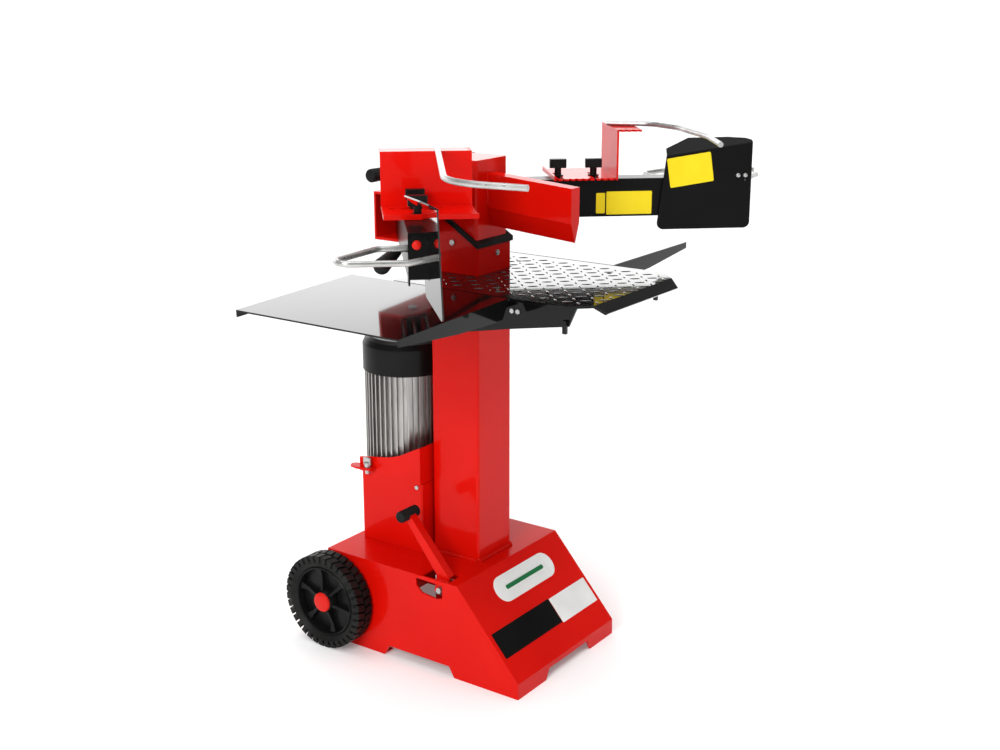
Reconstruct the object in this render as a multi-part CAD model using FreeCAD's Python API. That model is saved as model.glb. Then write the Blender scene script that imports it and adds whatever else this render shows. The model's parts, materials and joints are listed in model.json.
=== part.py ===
"""Vertical electric log splitter for 55 cm logs, ram lowered, side tables out.

Frame: millimetres, +Z up, -Y towards the operator, +X to the operator's right.
The origin is on the floor, under the axis of the column.
"""
import FreeCAD
import Part
import math
import os
from FreeCAD import Vector, Placement, Rotation

# ---- driving dimensions -------------------------------------------------------------
# base housing, a folded sheet box that is open underneath
BASE_HALF = 176.0
BASE_TOP = 200.0
BASE_SHEET = 4.0
BASE_REAR = 243.0
SLOPE_REAR_Y = -91.0
BASE_FRONT = -237.0
LIP_HEIGHT = 33.0
FOOT_RISE = 22.0
FOOT_WIDTH = 26.0

# column, ram and hydraulic cylinder
COLUMN = 114.0
COLUMN_WALL = 4.0
COLUMN_FOOT = 30.0
COLUMN_TOP_FRONT = 845.0
COLUMN_TOP_SLOPE = 0.62
SEAL_HEIGHT = 9.0
RAM = 102.0
RAM_WALL = 5.0
RAM_FOOT = 230.0
RAM_TOP = 1009.0
STROKE = 480.0
BARREL_R = 32.0
BARREL_BORE_R = 27.5
BARREL_FOOT = 40.0
BARREL_TOP = 640.0
ROD_R = 17.5
PISTON_Z = 62.0

# splitting wedge
WEDGE_THICK = 28.0
WEDGE_FRONT = -240.0
WEDGE_TOP_REAR = 982.0
WEDGE_TOP_FRONT = 968.0
WEDGE_EDGE_REAR = 880.0
WEDGE_EDGE_FRONT = 866.0
WEDGE_BEVEL = 37.0

# log table and the two side tables
TABLE_TOP = 791.0
TABLE_HALF = 178.0
TABLE_SHEET = 5.0
TABLE_FRONT = -370.0
TABLE_REAR = 50.0
SIDE_TABLE_Y0 = -216.0
SIDE_TABLE_Y1 = 150.0
SIDE_TABLE_OUT = 490.0
SIDE_SHEET = 3.0
SIDE_HINGE_X = 188.0
HINGE_Z = 777.0
HINGE_R = 5.0
LEFT_TABLE_DROOP = 2.0
CHEEK_BOLT_Y = (-210.0, -223.0)

# holding arms: each turns on an upright pin behind the column
PIVOT_X = 117.0
PIVOT_Y = 58.0
ARM_ANGLE = {"left": 221.8, "right": 312.0}
ARM_TOP = 947.0
ARM_HEIGHT = 77.0
ARM_HALF = 25.0
ARM_SHEET = 3.0
ARM_TIP = 424.0
ARM_ROOT = -24.0
PIN_R = 9.0
RUNNING = 0.05

# claw plates on the arms
CLAW_LENGTH = 162.0
CLAW_FLANGE = 130.0
CLAW_WEB = 100.0
CLAW_TOP = 46.0
CLAW_SHEET = 4.0
CLAW_LIP = 9.0
CLAW_IN = {"left": -103.0, "right": -50.0}
CLAW_WEB_U = {"left": 173.0, "right": 271.0}
CLAW_SIDE = {"left": 1, "right": -1}
KNOB_U = {"left": (205.0, 278.0), "right": (156.0, 229.0)}
KNOB_BOLT_R = 5.0
LOG_ROD_R = 5.0

# hand guard, hoop and operating handle
GUARD_U0 = 356.0
GUARD_U1 = 552.0
GUARD_Z0 = 842.0
GUARD_SHEET = 2.5
GUARD_V = -28.0
GUARD_SCREW_U = (524.0, 539.0)
GUARD_SCREW_Z = 947.0
LEFT_GUARD_V = -20.0
LEFT_GUARD_DROP = -14.0
LEFT_GUARD_LEAN = 2.3
LEFT_GUARD_YAW = 4.0
HOOP_R = 5.0
HANDLE_U = 335.0
HANDLE_Z = 905.0
HANDLE_PIN_R = 6.0
HANDLE_TIP = {"left": (62.0, 64.0, -14.0), "right": (80.0, 72.0, -22.0)}
GRIP_END_R = 14.0

# motor and pump
MOTOR_Y = 168.0
MOTOR_R = 86.0
MOTOR_FOOT = 352.0
MOTOR_TOP = 566.0
COVER_R = 89.0
COVER_TOP = 634.0
SHAFT_R = 12.0
HOUSING_HALF = 88.0
HOUSING_Y0 = 62.0
HOUSING_Y1 = 221.0
HOUSING_TOP = 350.0
HOUSING_SHEET = 3.0
HOUSING_BOLT_Y = 73.0
HOUSING_BOLT_Z = 343.0
VENT_X = -101.0
VENT_Y = 194.0
VENT_SEAT = 366.0

# wheels
WHEEL_R = 100.0
WHEEL_Y = 222.0
WHEEL_INNER_X = 180.0
WHEEL_WIDTH = 44.0
RIM_R = 74.0
AXLE_R = 8.0
HUB_POCKET = 38.0
HUB_CAP_R = 13.5

# base lever
LEVER_X = -163.0
LEVER_Y = -42.0
LEVER_Z = 176.0
LEVER_FACE = 18.0
GRIP_Y = 44.0
GRIP_Z = 314.0

# upright rod that works the valve
LINK_X = 18.0
LINK_Y = 73.8

PARTS = {}
PINS = []


# ---- helpers ------------------------------------------------------------------------
def box(x0, x1, y0, y1, z0, z1):
    return Part.makeBox(x1 - x0, y1 - y0, z1 - z0, Vector(x0, y0, z0))


def cyl(radius, base, direction, length):
    return Part.makeCylinder(radius, length, Vector(*base), Vector(*direction))


def polygon(points):
    vectors = [Vector(*p) for p in points]
    return Part.Face(Part.makePolygon(vectors + vectors[:1]))


def prism_x(yz, x0, x1):
    """A closed (y, z) outline pushed along X."""
    return polygon([(x0, y, z) for y, z in yz]).extrude(Vector(x1 - x0, 0, 0))


def prism_y(xz, y0, y1):
    return polygon([(x, y0, z) for x, z in xz]).extrude(Vector(0, y1 - y0, 0))


def prism_z(xy, z0, z1):
    return polygon([(x, y, z0) for x, y in xy]).extrude(Vector(0, 0, z1 - z0))


def fuse(shapes):
    solid = shapes[0].multiFuse(shapes[1:]) if len(shapes) > 1 else shapes[0]
    return solid.removeSplitter()


def cut(shape, tools):
    return shape.cut(Part.makeCompound(tools)) if tools else shape


def fillet_upright(shape, radius, tall):
    """Rounds the straight upright edges that are at least tall long."""
    edges = [e for e in shape.Edges if is_upright(e) and e.Length >= tall]
    return shape.makeFillet(radius, edges)


def is_upright(edge):
    if len(edge.Vertexes) != 2:
        return False
    a = edge.Vertexes[0].Point
    b = edge.Vertexes[1].Point
    return abs(a.x - b.x) < 1e-6 and abs(a.y - b.y) < 1e-6


def lathe(rz, centre, axis="z"):
    """An (r, height) outline turned about an axis through centre."""
    wire = [(r, 0, h) for r, h in rz]
    solid = polygon(wire).revolve(Vector(0, 0, 0), Vector(0, 0, 1), 360)
    if axis == "x":
        solid.rotate(Vector(0, 0, 0), Vector(0, 1, 0), 90)
    solid.translate(Vector(*centre))
    return solid


def tube_path(points, radius, bend):
    """A round bar along straight runs joined by tangent arcs of radius bend."""
    p = [Vector(*q) for q in points]
    bends = bend if isinstance(bend, (list, tuple)) else [bend] * (len(p) - 2)
    edges = []
    start = p[0]
    for i in range(1, len(p) - 1):
        d0 = (p[i] - p[i - 1]).normalize()
        d1 = (p[i + 1] - p[i]).normalize()
        half = d0.getAngle(d1) / 2
        back = bends[i - 1] * math.tan(half)
        a = p[i] - d0 * back
        b = p[i] + d1 * back
        middle = (d1 - d0).normalize()
        reach = bends[i - 1] / math.cos(half) - bends[i - 1]
        edges.append(Part.LineSegment(start, a).toShape())
        edges.append(Part.Arc(a, p[i] + middle * reach, b).toShape())
        start = b
    edges.append(Part.LineSegment(start, p[-1]).toShape())
    profile = Part.Wire(Part.makeCircle(radius, p[0], p[1] - p[0]))
    return Part.Wire(edges).makePipeShell([profile], True, False)


def hex_bolt(at, direction, shank_r, length, head=3.5):
    """A hexagon head on a shank; at is under the head, direction points outwards."""
    out = Vector(*direction).normalize()
    start = Vector(*at)
    across = shank_r * 1.85
    ring = [Vector(across * math.cos(a), across * math.sin(a), 0)
            for a in (math.radians(60 * k) for k in range(6))]
    hexagon = Part.Face(Part.makePolygon(ring + ring[:1])).extrude(Vector(0, 0, head))
    shank = Part.makeCylinder(shank_r, length, Vector(0, 0, -length))
    bolt = hexagon.fuse(shank)
    bolt.Placement = Placement(start, Rotation(Vector(0, 0, 1), out))
    return bolt


def add(name, shape):
    PARTS[name] = shape


# ---- base ---------------------------------------------------------------------------
def base_outline(inset):
    """The side view of the housing, moved inwards by inset."""
    slope = math.atan2(BASE_TOP - LIP_HEIGHT, SLOPE_REAR_Y - BASE_FRONT)
    knee = inset * math.tan(slope / 2)
    lip = inset * math.tan((math.pi / 2 - slope) / 2)
    return [
        (BASE_FRONT + inset, -1.0 if inset else 0.0),
        (BASE_FRONT + inset, LIP_HEIGHT - lip),
        (SLOPE_REAR_Y + knee, BASE_TOP - inset),
        (BASE_REAR - inset, BASE_TOP - inset),
        (BASE_REAR - inset, -1.0 if inset else 0.0),
    ]


def lever_window():
    """The D-shaped window beside the base lever."""
    yz = [(-55, 191), (11, 193), (9, 176), (-4, 164), (-40, 160), (-55, 164)]
    return prism_x(yz, -BASE_HALF - 1, -BASE_HALF + BASE_SHEET + 1)


def base_housing():
    inner = BASE_HALF - BASE_SHEET
    shell = prism_x(base_outline(0), -BASE_HALF, BASE_HALF)
    shell = shell.cut(prism_x(base_outline(BASE_SHEET), -inner, inner))
    feet = []
    for s in (-1, 1):
        x0, x1 = sorted((s * BASE_HALF, s * (BASE_HALF - FOOT_WIDTH)))
        feet.append(box(x0, x1, BASE_FRONT + 0.1, -78, 0, BASE_SHEET))
        feet.append(box(x0, x1, 92, BASE_REAR - 0.1, 0, BASE_SHEET))
    shell = fuse([shell] + feet)
    side_notch = [(-83, -1), (-70, FOOT_RISE), (83, FOOT_RISE), (97, -1)]
    front_notch = [(-78, -1), (-66, FOOT_RISE), (76, FOOT_RISE), (88, -1)]
    hole = COLUMN / 2 + 0.5
    tools = [
        prism_x(side_notch, -BASE_HALF - 1, BASE_HALF + 1),
        prism_y(front_notch, BASE_FRONT - 1, BASE_REAR + 1),
        box(-hole, hole, -hole, hole, BASE_TOP - 10, BASE_TOP + 1),
        cyl(10.0, (0, 71, BASE_TOP - 10), (0, 0, 1), 20),
        cyl(AXLE_R + RUNNING, (-BASE_HALF - 1, WHEEL_Y, WHEEL_R), (1, 0, 0), 2 * BASE_HALF + 2),
        lever_window(),
        box(LEVER_X - 9, LEVER_X + 30, LEVER_Y - 26, LEVER_Y + 40, BASE_TOP - 10, BASE_TOP + 1),
    ]
    add("base_housing", cut(shell, tools))


def axle():
    reach = WHEEL_INNER_X + HUB_POCKET - RUNNING
    bar = cyl(AXLE_R, (-reach, WHEEL_Y, WHEEL_R), (1, 0, 0), 2 * reach)
    rings = []
    for s in (-1, 1):
        rings.append(cyl(12, (s * (reach - 5), WHEEL_Y, WHEEL_R), (s, 0, 0), 3))
        rings.append(cyl(13, (s * (WHEEL_INNER_X - 0.4), WHEEL_Y, WHEEL_R), (-s, 0, 0), 3))
    add("axle", fuse([bar] + rings))


def wheel(side):
    """Tyre, and a moulded centre whose hub pocket is closed by a pressed-in cap."""
    s = -1 if side == "left" else 1
    x = s * (WHEEL_INNER_X + WHEEL_WIDTH / 2)
    half = WHEEL_WIDTH / 2
    tyre = [(RIM_R, -half + 7), (WHEEL_R - 8, -half), (WHEEL_R, -half + 7),
            (WHEEL_R, half - 7), (WHEEL_R - 8, half), (RIM_R, half - 7)]
    rim = [(0, -half), (22, -half), (22, -half + 6), (RIM_R - 8, -7),
           (RIM_R, -half + 7), (RIM_R, half - 7), (RIM_R - 8, 7), (22, half - 6),
           (22, half), (0, half)]
    centre = lathe(rim, (x, WHEEL_Y, WHEEL_R), "x")
    inner = s * (WHEEL_INNER_X - 1)
    ring_seat = s * (WHEEL_INNER_X + HUB_POCKET - 5 - 2 * RUNNING)
    tools = [cyl(AXLE_R + RUNNING, (inner, WHEEL_Y, WHEEL_R), (s, 0, 0), WHEEL_WIDTH + 2),
             cyl(HUB_CAP_R, (ring_seat, WHEEL_Y, WHEEL_R), (s, 0, 0), 20)]
    for k in range(5):
        a = math.radians(72 * k + 18)
        tools.append(cyl(15, (x - 30, WHEEL_Y + 46 * math.cos(a), WHEEL_R + 46 * math.sin(a)),
                         (1, 0, 0), 60))
    cap = cyl(HUB_CAP_R, (s * (WHEEL_INNER_X + HUB_POCKET + 0.1), WHEEL_Y, WHEEL_R), (s, 0, 0),
              WHEEL_WIDTH - HUB_POCKET + 2)
    add(side + "_tyre", lathe(tyre, (x, WHEEL_Y, WHEEL_R), "x"))
    add(side + "_wheel_rim", Part.makeCompound([cut(centre, tools), cap]))


def base_lever():
    """A folded lever with a cross grip, on a pin inside the housing."""
    x = LEVER_X
    foot_y, foot_z = LEVER_Y, LEVER_Z
    web = [(foot_y - 20, foot_z - 8), (foot_y + 16, foot_z - 8), (foot_y + 10, 205),
           (46, 306), (34, 316), (-62, 205)]
    lever = prism_x(web, x, x + 4)
    face = [(-62, 205), (34, 316), (37, 313.5), (-59, 202.5)]
    lever = lever.fuse(prism_x(face, x, x + LEVER_FACE))
    lever = lever.fuse(cyl(6, (x - 14, GRIP_Y, GRIP_Z), (1, 0, 0), 44))
    lever = cut(lever, [cyl(6 + RUNNING, (x - 5, foot_y, foot_z), (1, 0, 0), 40)])
    add("base_lever", lever.removeSplitter())
    grip = cyl(11.5, (x - 18, GRIP_Y, GRIP_Z), (1, 0, 0), 52)
    grip = grip.makeFillet(2.5, [e for e in grip.Edges if e.Length > 50 and e.Closed])
    grip = grip.cut(cyl(6, (x - 14, GRIP_Y, GRIP_Z), (1, 0, 0), 44))
    grip = grip.cut(PARTS["base_lever"])
    add("base_lever_grip", grip)
    pin = cyl(6, (-BASE_HALF + BASE_SHEET, foot_y, foot_z), (1, 0, 0), 34)
    plate = box(x + 14, x + 18, foot_y - 24, foot_y + 24, foot_z - 20, BASE_TOP - BASE_SHEET)
    PINS.append(fuse([pin, plate]))


# ---- column, ram and cylinder ---------------------------------------------------------
def column_cut(extra):
    """What lies above the slanted top of the column."""
    half = COLUMN / 2 + 5
    front = COLUMN_TOP_FRONT + extra - COLUMN_TOP_SLOPE * 5
    rear = COLUMN_TOP_FRONT + extra + COLUMN_TOP_SLOPE * (COLUMN + 5)
    return prism_x([(-half, front), (half, rear), (half, rear + 400), (-half, rear + 400)],
                   -half, half)


def square_tube(outer, wall, z0, z1):
    o = outer / 2
    i = o - wall
    body = fillet_upright(box(-o, o, -o, o, z0, z1), 6.0, 50)
    return body.cut(box(-i, i, -i, i, z0 - 1, z1 + 1))


def column():
    tube = square_tube(COLUMN, COLUMN_WALL, COLUMN_FOOT, 960).cut(column_cut(0))
    half = COLUMN / 2
    tools = [cyl(3.3, (-half - 1, 1, 850), (1, 0, 0), 10),
             cyl(3.3, (half + 1, 1, 850), (-1, 0, 0), 10),
             cyl(3.3, (8, -half - 1, 827), (0, 1, 0), 10),
             cyl(7.0, (0, half + 1, 110), (0, -1, 0), 10)]
    add("column", cut(tube, tools))
    foot = box(-half + COLUMN_WALL, half - COLUMN_WALL, -half + COLUMN_WALL,
               half - COLUMN_WALL, COLUMN_FOOT, BARREL_FOOT)
    PARTS["column"] = PARTS["column"].fuse(foot).removeSplitter()
    lip = 2.5
    o = half + lip
    band = box(-o, o, -o, o, 820, 990).cut(column_cut(SEAL_HEIGHT)).common(column_cut(0))
    i = RAM / 2 + 0.4
    band = band.cut(box(-i, i, -i, i, 800, 1000))
    add("column_seal", band)


def guide_pads():
    """Plastic slides between the ram and the column, and the screws that set them."""
    gap0 = RAM / 2 + 0.15
    gap1 = COLUMN / 2 - COLUMN_WALL
    pads = [box(-gap1, -gap0, -30, 30, 790, 845), box(gap0, gap1, -30, 30, 790, 845),
            box(-30, 30, -gap1, -gap0, 780, 832), box(-30, 30, gap0, gap1, 800, 900)]
    add("guide_pads", Part.makeCompound(pads))


def ram():
    tube = square_tube(RAM, RAM_WALL, RAM_FOOT, RAM_TOP)
    inner = RAM / 2 - RAM_WALL
    cap = box(-inner, inner, -inner, inner, RAM_TOP - 6, RAM_TOP)
    lug = box(-inner, inner, -8, 8, RAM_TOP - 60, RAM_TOP - 6)
    lug = lug.cut(cyl(10.05, (-60, 0, RAM_TOP - 35), (1, 0, 0), 120))
    lug = lug.cut(cyl(ROD_R + 1, (0, 0, RAM_TOP - 70), (0, 0, 1), 66))
    pin_holes = cyl(10.05, (-60, 0, RAM_TOP - 35), (1, 0, 0), 120)
    add("ram_tube", tube.fuse(cap).fuse(lug).cut(pin_holes).removeSplitter())
    pin = cyl(10.0, (-RAM / 2, 0, RAM_TOP - 35), (1, 0, 0), RAM)
    rod = cyl(ROD_R, (0, 0, PISTON_Z + 30), (0, 0, 1), RAM_TOP - 8 - PISTON_Z - 30)
    piston = cyl(BARREL_BORE_R - RUNNING, (0, 0, PISTON_Z), (0, 0, 1), 30)
    add("piston_rod", fuse([rod, piston, pin]))


def cylinder():
    barrel = cyl(BARREL_R, (0, 0, BARREL_FOOT), (0, 0, 1), BARREL_TOP - BARREL_FOOT)
    bore = cyl(BARREL_BORE_R, (0, 0, BARREL_FOOT + 12), (0, 0, 1), BARREL_TOP)
    gland = cyl(BARREL_BORE_R, (0, 0, BARREL_TOP - 25), (0, 0, 1), 25)
    gland = gland.fuse(cyl(BARREL_R + 3, (0, 0, BARREL_TOP), (0, 0, 1), 12))
    gland = gland.cut(cyl(ROD_R + RUNNING, (0, 0, BARREL_TOP - 30), (0, 0, 1), 60))
    add("cylinder_barrel", fuse([barrel.cut(bore), gland]))


def wedge():
    half = WEDGE_THICK / 2
    rear = -RAM / 2
    crease_rear = WEDGE_EDGE_REAR + WEDGE_BEVEL
    crease_front = WEDGE_EDGE_FRONT + WEDGE_BEVEL
    body = prism_x([(rear, crease_rear), (rear, WEDGE_TOP_REAR),
                    (WEDGE_FRONT, WEDGE_TOP_FRONT), (WEDGE_FRONT, crease_front)], -half, half)
    edge = 0.6

    def section(y, crease, tip):
        pts = [Vector(-half, y, crease), Vector(half, y, crease),
               Vector(edge, y, tip), Vector(-edge, y, tip)]
        return Part.makePolygon(pts + pts[:1])

    blade = Part.makeLoft([section(rear, crease_rear, WEDGE_EDGE_REAR),
                           section(WEDGE_FRONT, crease_front, WEDGE_EDGE_FRONT)], True, True)
    add("splitting_wedge", fuse([body, blade]))


# ---- table ------------------------------------------------------------------------------
def table_outline():
    slot = COLUMN / 2 + 2
    return [(-TABLE_HALF, TABLE_REAR), (-TABLE_HALF, -330), (-140, TABLE_FRONT),
            (140, TABLE_FRONT), (TABLE_HALF, -330), (TABLE_HALF, TABLE_REAR),
            (slot, TABLE_REAR), (slot, -slot), (-slot, -slot), (-slot, TABLE_REAR)]


def table_plate():
    z0 = TABLE_TOP - TABLE_SHEET
    plate = prism_z(table_outline(), z0, TABLE_TOP)
    t = TABLE_SHEET
    flap = [(TABLE_FRONT + 2, TABLE_TOP), (TABLE_FRONT, TABLE_TOP), (-391, 777),
            (-391 + t * 0.9, 777 - t * 0.7), (TABLE_FRONT + 2, z0)]
    flap = prism_x(flap, -140, 140)
    trims = [prism_z([(s * 141, TABLE_FRONT + 3), (s * 141, -400), (s * 122, -400),
                      (s * 140, TABLE_FRONT)], 700, 800) for s in (-1, 1)]
    flap = cut(flap, trims)
    holes = [cyl(5.2, (s * 110, y, z0 - 1), (0, 0, 1), 20) for s in (-1, 1) for y in (-40, -250)]
    add("log_table", cut(fuse([plate, flap]), holes))


def table_bracket():
    """The support under the table: two deep cheeks and a saddle round the column."""
    z1 = TABLE_TOP - TABLE_SHEET
    side = [(-346, z1), (-330, 751), (-198, 728), (-37, 696), (40, 702), (40, z1)]
    pieces = []
    for s in (-1, 1):
        x0, x1 = sorted((s * 156, s * 160))
        pieces.append(prism_x(side, x0, x1))
        flange = sorted((s * 90, s * 160))
        pieces.append(box(flange[0], flange[1], -320, 40, z1 - 4, z1))
        hook = sorted((s * 160, s * 166))
        pieces.append(box(hook[0], hook[1], -328, -320, 738, 762))
    slot = COLUMN / 2 + 0.3
    saddle = box(-156, 156, -slot - 6, -slot, 740, z1)
    pieces.append(saddle)
    for s in (-1, 1):
        x0, x1 = sorted((s * slot, s * (slot + 6)))
        pieces.append(box(x0, x1, -slot - 6, 40, 740, z1))
    pieces.append(box(-156, 156, -230, -224, 745, z1))
    bracket = fuse(pieces)
    holes = [cyl(5.2, (s * 110, y, z1 - 10), (0, 0, 1), 20) for s in (-1, 1) for y in (-40, -250)]
    for y in CHEEK_BOLT_Y:
        holes += [cyl(2.7, (s * 150, y, 764), (s, 0, 0), 20) for s in (-1, 1)]
    add("table_bracket", cut(bracket, holes))


def hinge_line(side):
    s = -1 if side == "left" else 1
    return s * SIDE_HINGE_X, s


def side_table(side):
    """A pressed sheet tray that folds down about a pin along the table's edge."""
    x, s = hinge_line(side)
    x_in = s * (SIDE_HINGE_X - 6)
    x_out = s * SIDE_TABLE_OUT
    z1 = TABLE_TOP
    z0 = TABLE_TOP - SIDE_SHEET
    lo, hi = sorted((x_in, x_out))
    tray = box(lo, hi, SIDE_TABLE_Y0, SIDE_TABLE_Y1, z0, z1)
    front = [(x_in, z1), (x_out, z1), (x_out, z1 - 13), (s * 330, z1 - 30),
             (s * 230, z1 - 35), (s * 200, z1 - 35), (x_in, z1 - 8)]
    rear = [(x_in, z1), (x_out, z1), (x_out, z1 - 13), (x_in, z1 - 13)]
    front_flange = prism_y(front, SIDE_TABLE_Y0, SIDE_TABLE_Y0 + SIDE_SHEET)
    rear_flange = prism_y(rear, SIDE_TABLE_Y1 - SIDE_SHEET, SIDE_TABLE_Y1)
    knuckles = []
    for y0, y1 in ((-190, -140), (60, 110)):
        barrel = cyl(HINGE_R + 3.5, (x, y0, HINGE_Z), (0, 1, 0), y1 - y0)
        web = sorted((x - s * 2, x + s * 3))
        neck = box(web[0], web[1], y0, y1, HINGE_Z, z0 + 1)
        knuckles.append(barrel.fuse(neck))
    tray = fuse([tray, front_flange, rear_flange] + knuckles)
    bores = [cyl(HINGE_R + RUNNING, (x, -195, HINGE_Z), (0, 1, 0), 320)]
    tray = cut(tray, bores)
    if side == "left":
        tray.rotate(Vector(x, 0, HINGE_Z), Vector(0, 1, 0), -LEFT_TABLE_DROOP)
    add(side + "_side_table", tray)


def side_hinge_pins():
    """Hinge rods of the side tables with the ears that carry them."""
    rods = []
    for side in ("left", "right"):
        x, s = hinge_line(side)
        for y0, y1 in ((-198, -132), (52, 118)):
            rods.append(cyl(HINGE_R, (x, y0, HINGE_Z), (0, 1, 0), y1 - y0))
            for y in (y0, y1 - 6):
                ear = sorted((s * 160, x + s * 6))
                plate = box(ear[0], ear[1], y, y + 6, HINGE_Z - 9, HINGE_Z + 7)
                rods.append(plate)
    groups = [fuse(rods[k:k + 3]) for k in range(0, len(rods), 3)]
    add("side_table_hinges", Part.makeCompound(groups))


# ---- arm bracket and transport handle -------------------------------------------------------
def arm_bracket():
    """Upper and lower plates on a back plate, round the back of the column."""
    half = COLUMN / 2
    z_low = ARM_TOP - ARM_HEIGHT - 2
    z_high = ARM_TOP + 2
    outline = [(-170, 100), (-170, 42), (-135, 26), (-100, 26), (-82, 44), (-half - 0.5, 44),
               (-half - 0.5, half + 0.5), (half + 0.5, half + 0.5), (half + 0.5, 44), (82, 44),
               (100, 26), (135, 26), (170, 42), (170, 100)]
    plates = [prism_z(outline, z_low - 5, z_low), prism_z(outline, z_high, z_high + 5)]
    back = box(-170, 170, 96, 100, z_low - 5, z_high + 5)
    cheeks = [box(s * 36 - 2, s * 36 + 2, half + 0.5, 98, z_low - 5, z_high + 5)
              for s in (-1, 1)]
    bracket = fuse(plates + [back] + cheeks)
    holes = [cyl(PIN_R, (s * PIVOT_X, PIVOT_Y, 800), (0, 0, 1), 300) for s in (-1, 1)]
    holes.append(cyl(5.0, (LINK_X, LINK_Y, 800), (0, 0, 1), 100))
    add("arm_bracket", cut(bracket, holes + [PARTS["column_seal"]]))
    for s in (-1, 1):
        pin = cyl(PIN_R, (s * PIVOT_X, PIVOT_Y, z_low - 8), (0, 0, 1), z_high - z_low + 14)
        head = cyl(PIN_R + 5, (s * PIVOT_X, PIVOT_Y, z_high + 5), (0, 0, 1), 5)
        PINS.append(pin.fuse(head).removeSplitter())


def transport_handle():
    """A cross bar on two uprights, for tipping the machine onto its wheels."""
    y = 112.0
    z = 981.0
    bar = cyl(9, (-165, y, z), (1, 0, 0), 330)
    uprights = [box(s * 70 - 3, s * 70 + 3, 100, 124, 905, z + 12) for s in (-1, 1)]
    add("transport_handle", fuse([bar] + uprights))
    grips = []
    for s in (-1, 1):
        x0 = -166 if s < 0 else 88
        grip = cyl(13, (x0, y, z), (1, 0, 0), 78)
        grip = grip.makeFillet(3.0, [e for e in grip.Edges if e.Closed and e.Length > 50])
        grips.append(grip.cut(cyl(9, (-165, y, z), (1, 0, 0), 330)))
    add("transport_grips", Part.makeCompound(grips))


# ---- arms, claws, guards and handles ----------------------------------------------------------
def arm_frame(side):
    """Local axes: X along the arm, Z up; Y outwards on the right arm, inwards on the left."""
    s = -1 if side == "left" else 1
    angle = Rotation(Vector(0, 0, 1), ARM_ANGLE[side])
    return s, Placement(Vector(s * PIVOT_X, PIVOT_Y, 0), angle)


def place(shape, frame):
    shape.Placement = frame.multiply(shape.Placement)
    return shape


def vbox(s, u0, u1, v0, v1, z0, z1):
    """A box in arm axes, with v counted outwards on both arms."""
    lo, hi = sorted((s * v0, s * v1))
    return box(u0, u1, lo, hi, z0, z1)


def arm(side):
    s, frame = arm_frame(side)
    z0 = ARM_TOP - ARM_HEIGHT
    t = ARM_SHEET
    shell = vbox(s, ARM_ROOT, ARM_TIP, -ARM_HALF, ARM_HALF, z0, ARM_TOP)
    shell = shell.cut(vbox(s, ARM_ROOT - 1, ARM_TIP + 1, -ARM_HALF + t, ARM_HALF - t,
                           z0 - 1, ARM_TOP - t))
    strap = vbox(s, ARM_ROOT, 45, -ARM_HALF, ARM_HALF, z0, z0 + t)
    bush = cyl(PIN_R + 5, (0, 0, z0), (0, 0, 1), ARM_HEIGHT)
    tab = vbox(s, ARM_TIP - 26, ARM_TIP, ARM_HALF - t, ARM_HALF, z0 - 10, z0 + 5)
    tip = vbox(s, ARM_TIP - t, ARM_TIP, -ARM_HALF, ARM_HALF, z0, ARM_TOP)
    shell = fuse([shell, strap, bush, tab, tip])
    tools = [cyl(PIN_R + RUNNING, (0, 0, z0 - 5), (0, 0, 1), ARM_HEIGHT + 10)]
    for u in KNOB_U[side]:
        tools.append(cyl(KNOB_BOLT_R, (u, 0, ARM_TOP - 10), (0, 0, 1), 20))
    tools.append(cyl(HANDLE_PIN_R + RUNNING, (HANDLE_U, 0, HANDLE_Z), (0, s, 0), 40))
    corners = [(ARM_ROOT - 1, -ARM_HALF - 1), (ARM_ROOT + 12, -ARM_HALF - 1),
               (ARM_ROOT - 1, -ARM_HALF + 12)]
    for m in (-1, 1):
        tools.append(prism_z([(u, m * v) for u, v in corners], z0 - 1, ARM_TOP + 1))
    add(side + "_arm", place(cut(shell, tools), frame))


def claw(side):
    """A Z-shaped plate across the arm, with teeth at its inner end."""
    s, frame = arm_frame(side)
    d = CLAW_SIDE[side]
    web_u = CLAW_WEB_U[side]
    v0 = CLAW_IN[side]
    v1 = v0 + CLAW_LENGTH
    z0 = ARM_TOP + 0.2
    t = CLAW_SHEET
    far_u = web_u + d * CLAW_FLANGE
    u_lo, u_hi = sorted((web_u, far_u))
    flange = vbox(s, u_lo, u_hi, v0, v1, z0, z0 + t)
    lip_lo, lip_hi = sorted((far_u - d * t, far_u))
    lip = vbox(s, lip_lo, lip_hi, v0, v1, z0, z0 + CLAW_LIP)
    web_lo, web_hi = sorted((web_u, web_u + d * t))
    web = vbox(s, web_lo, web_hi, v0, v1, z0, z0 + CLAW_WEB)
    top_lo, top_hi = sorted((web_u + d * t, web_u - d * CLAW_TOP))
    top = vbox(s, top_lo, top_hi, v0, v1, z0 + CLAW_WEB - t, z0 + CLAW_WEB)
    plate = fuse([flange, lip, web, top])
    pitch = 12.0
    gullets = []
    for start, stop in ((u_lo, u_hi), (top_lo, top_hi)):
        count = int((stop - start) // pitch)
        for k in range(count):
            u = start + (k + 0.5) * (stop - start) / count
            wedge_cut = [(u - 3.5, s * (v0 - 1)), (u + 3.5, s * (v0 - 1)), (u, s * (v0 + 8))]
            gullets.append(prism_z(wedge_cut, z0 - 1, z0 + t + 0.1))
            gullets.append(prism_z(wedge_cut, z0 + CLAW_WEB - t - 0.1, z0 + CLAW_WEB + 1))
    slots = []
    for u in KNOB_U[side]:
        slots.append(slot_hole(s, u, z0 - 1, z0 + t + 1))
    add(side + "_claw", place(cut(plate, gullets + slots), frame))


SLOT_HALF = 40.0


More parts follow.
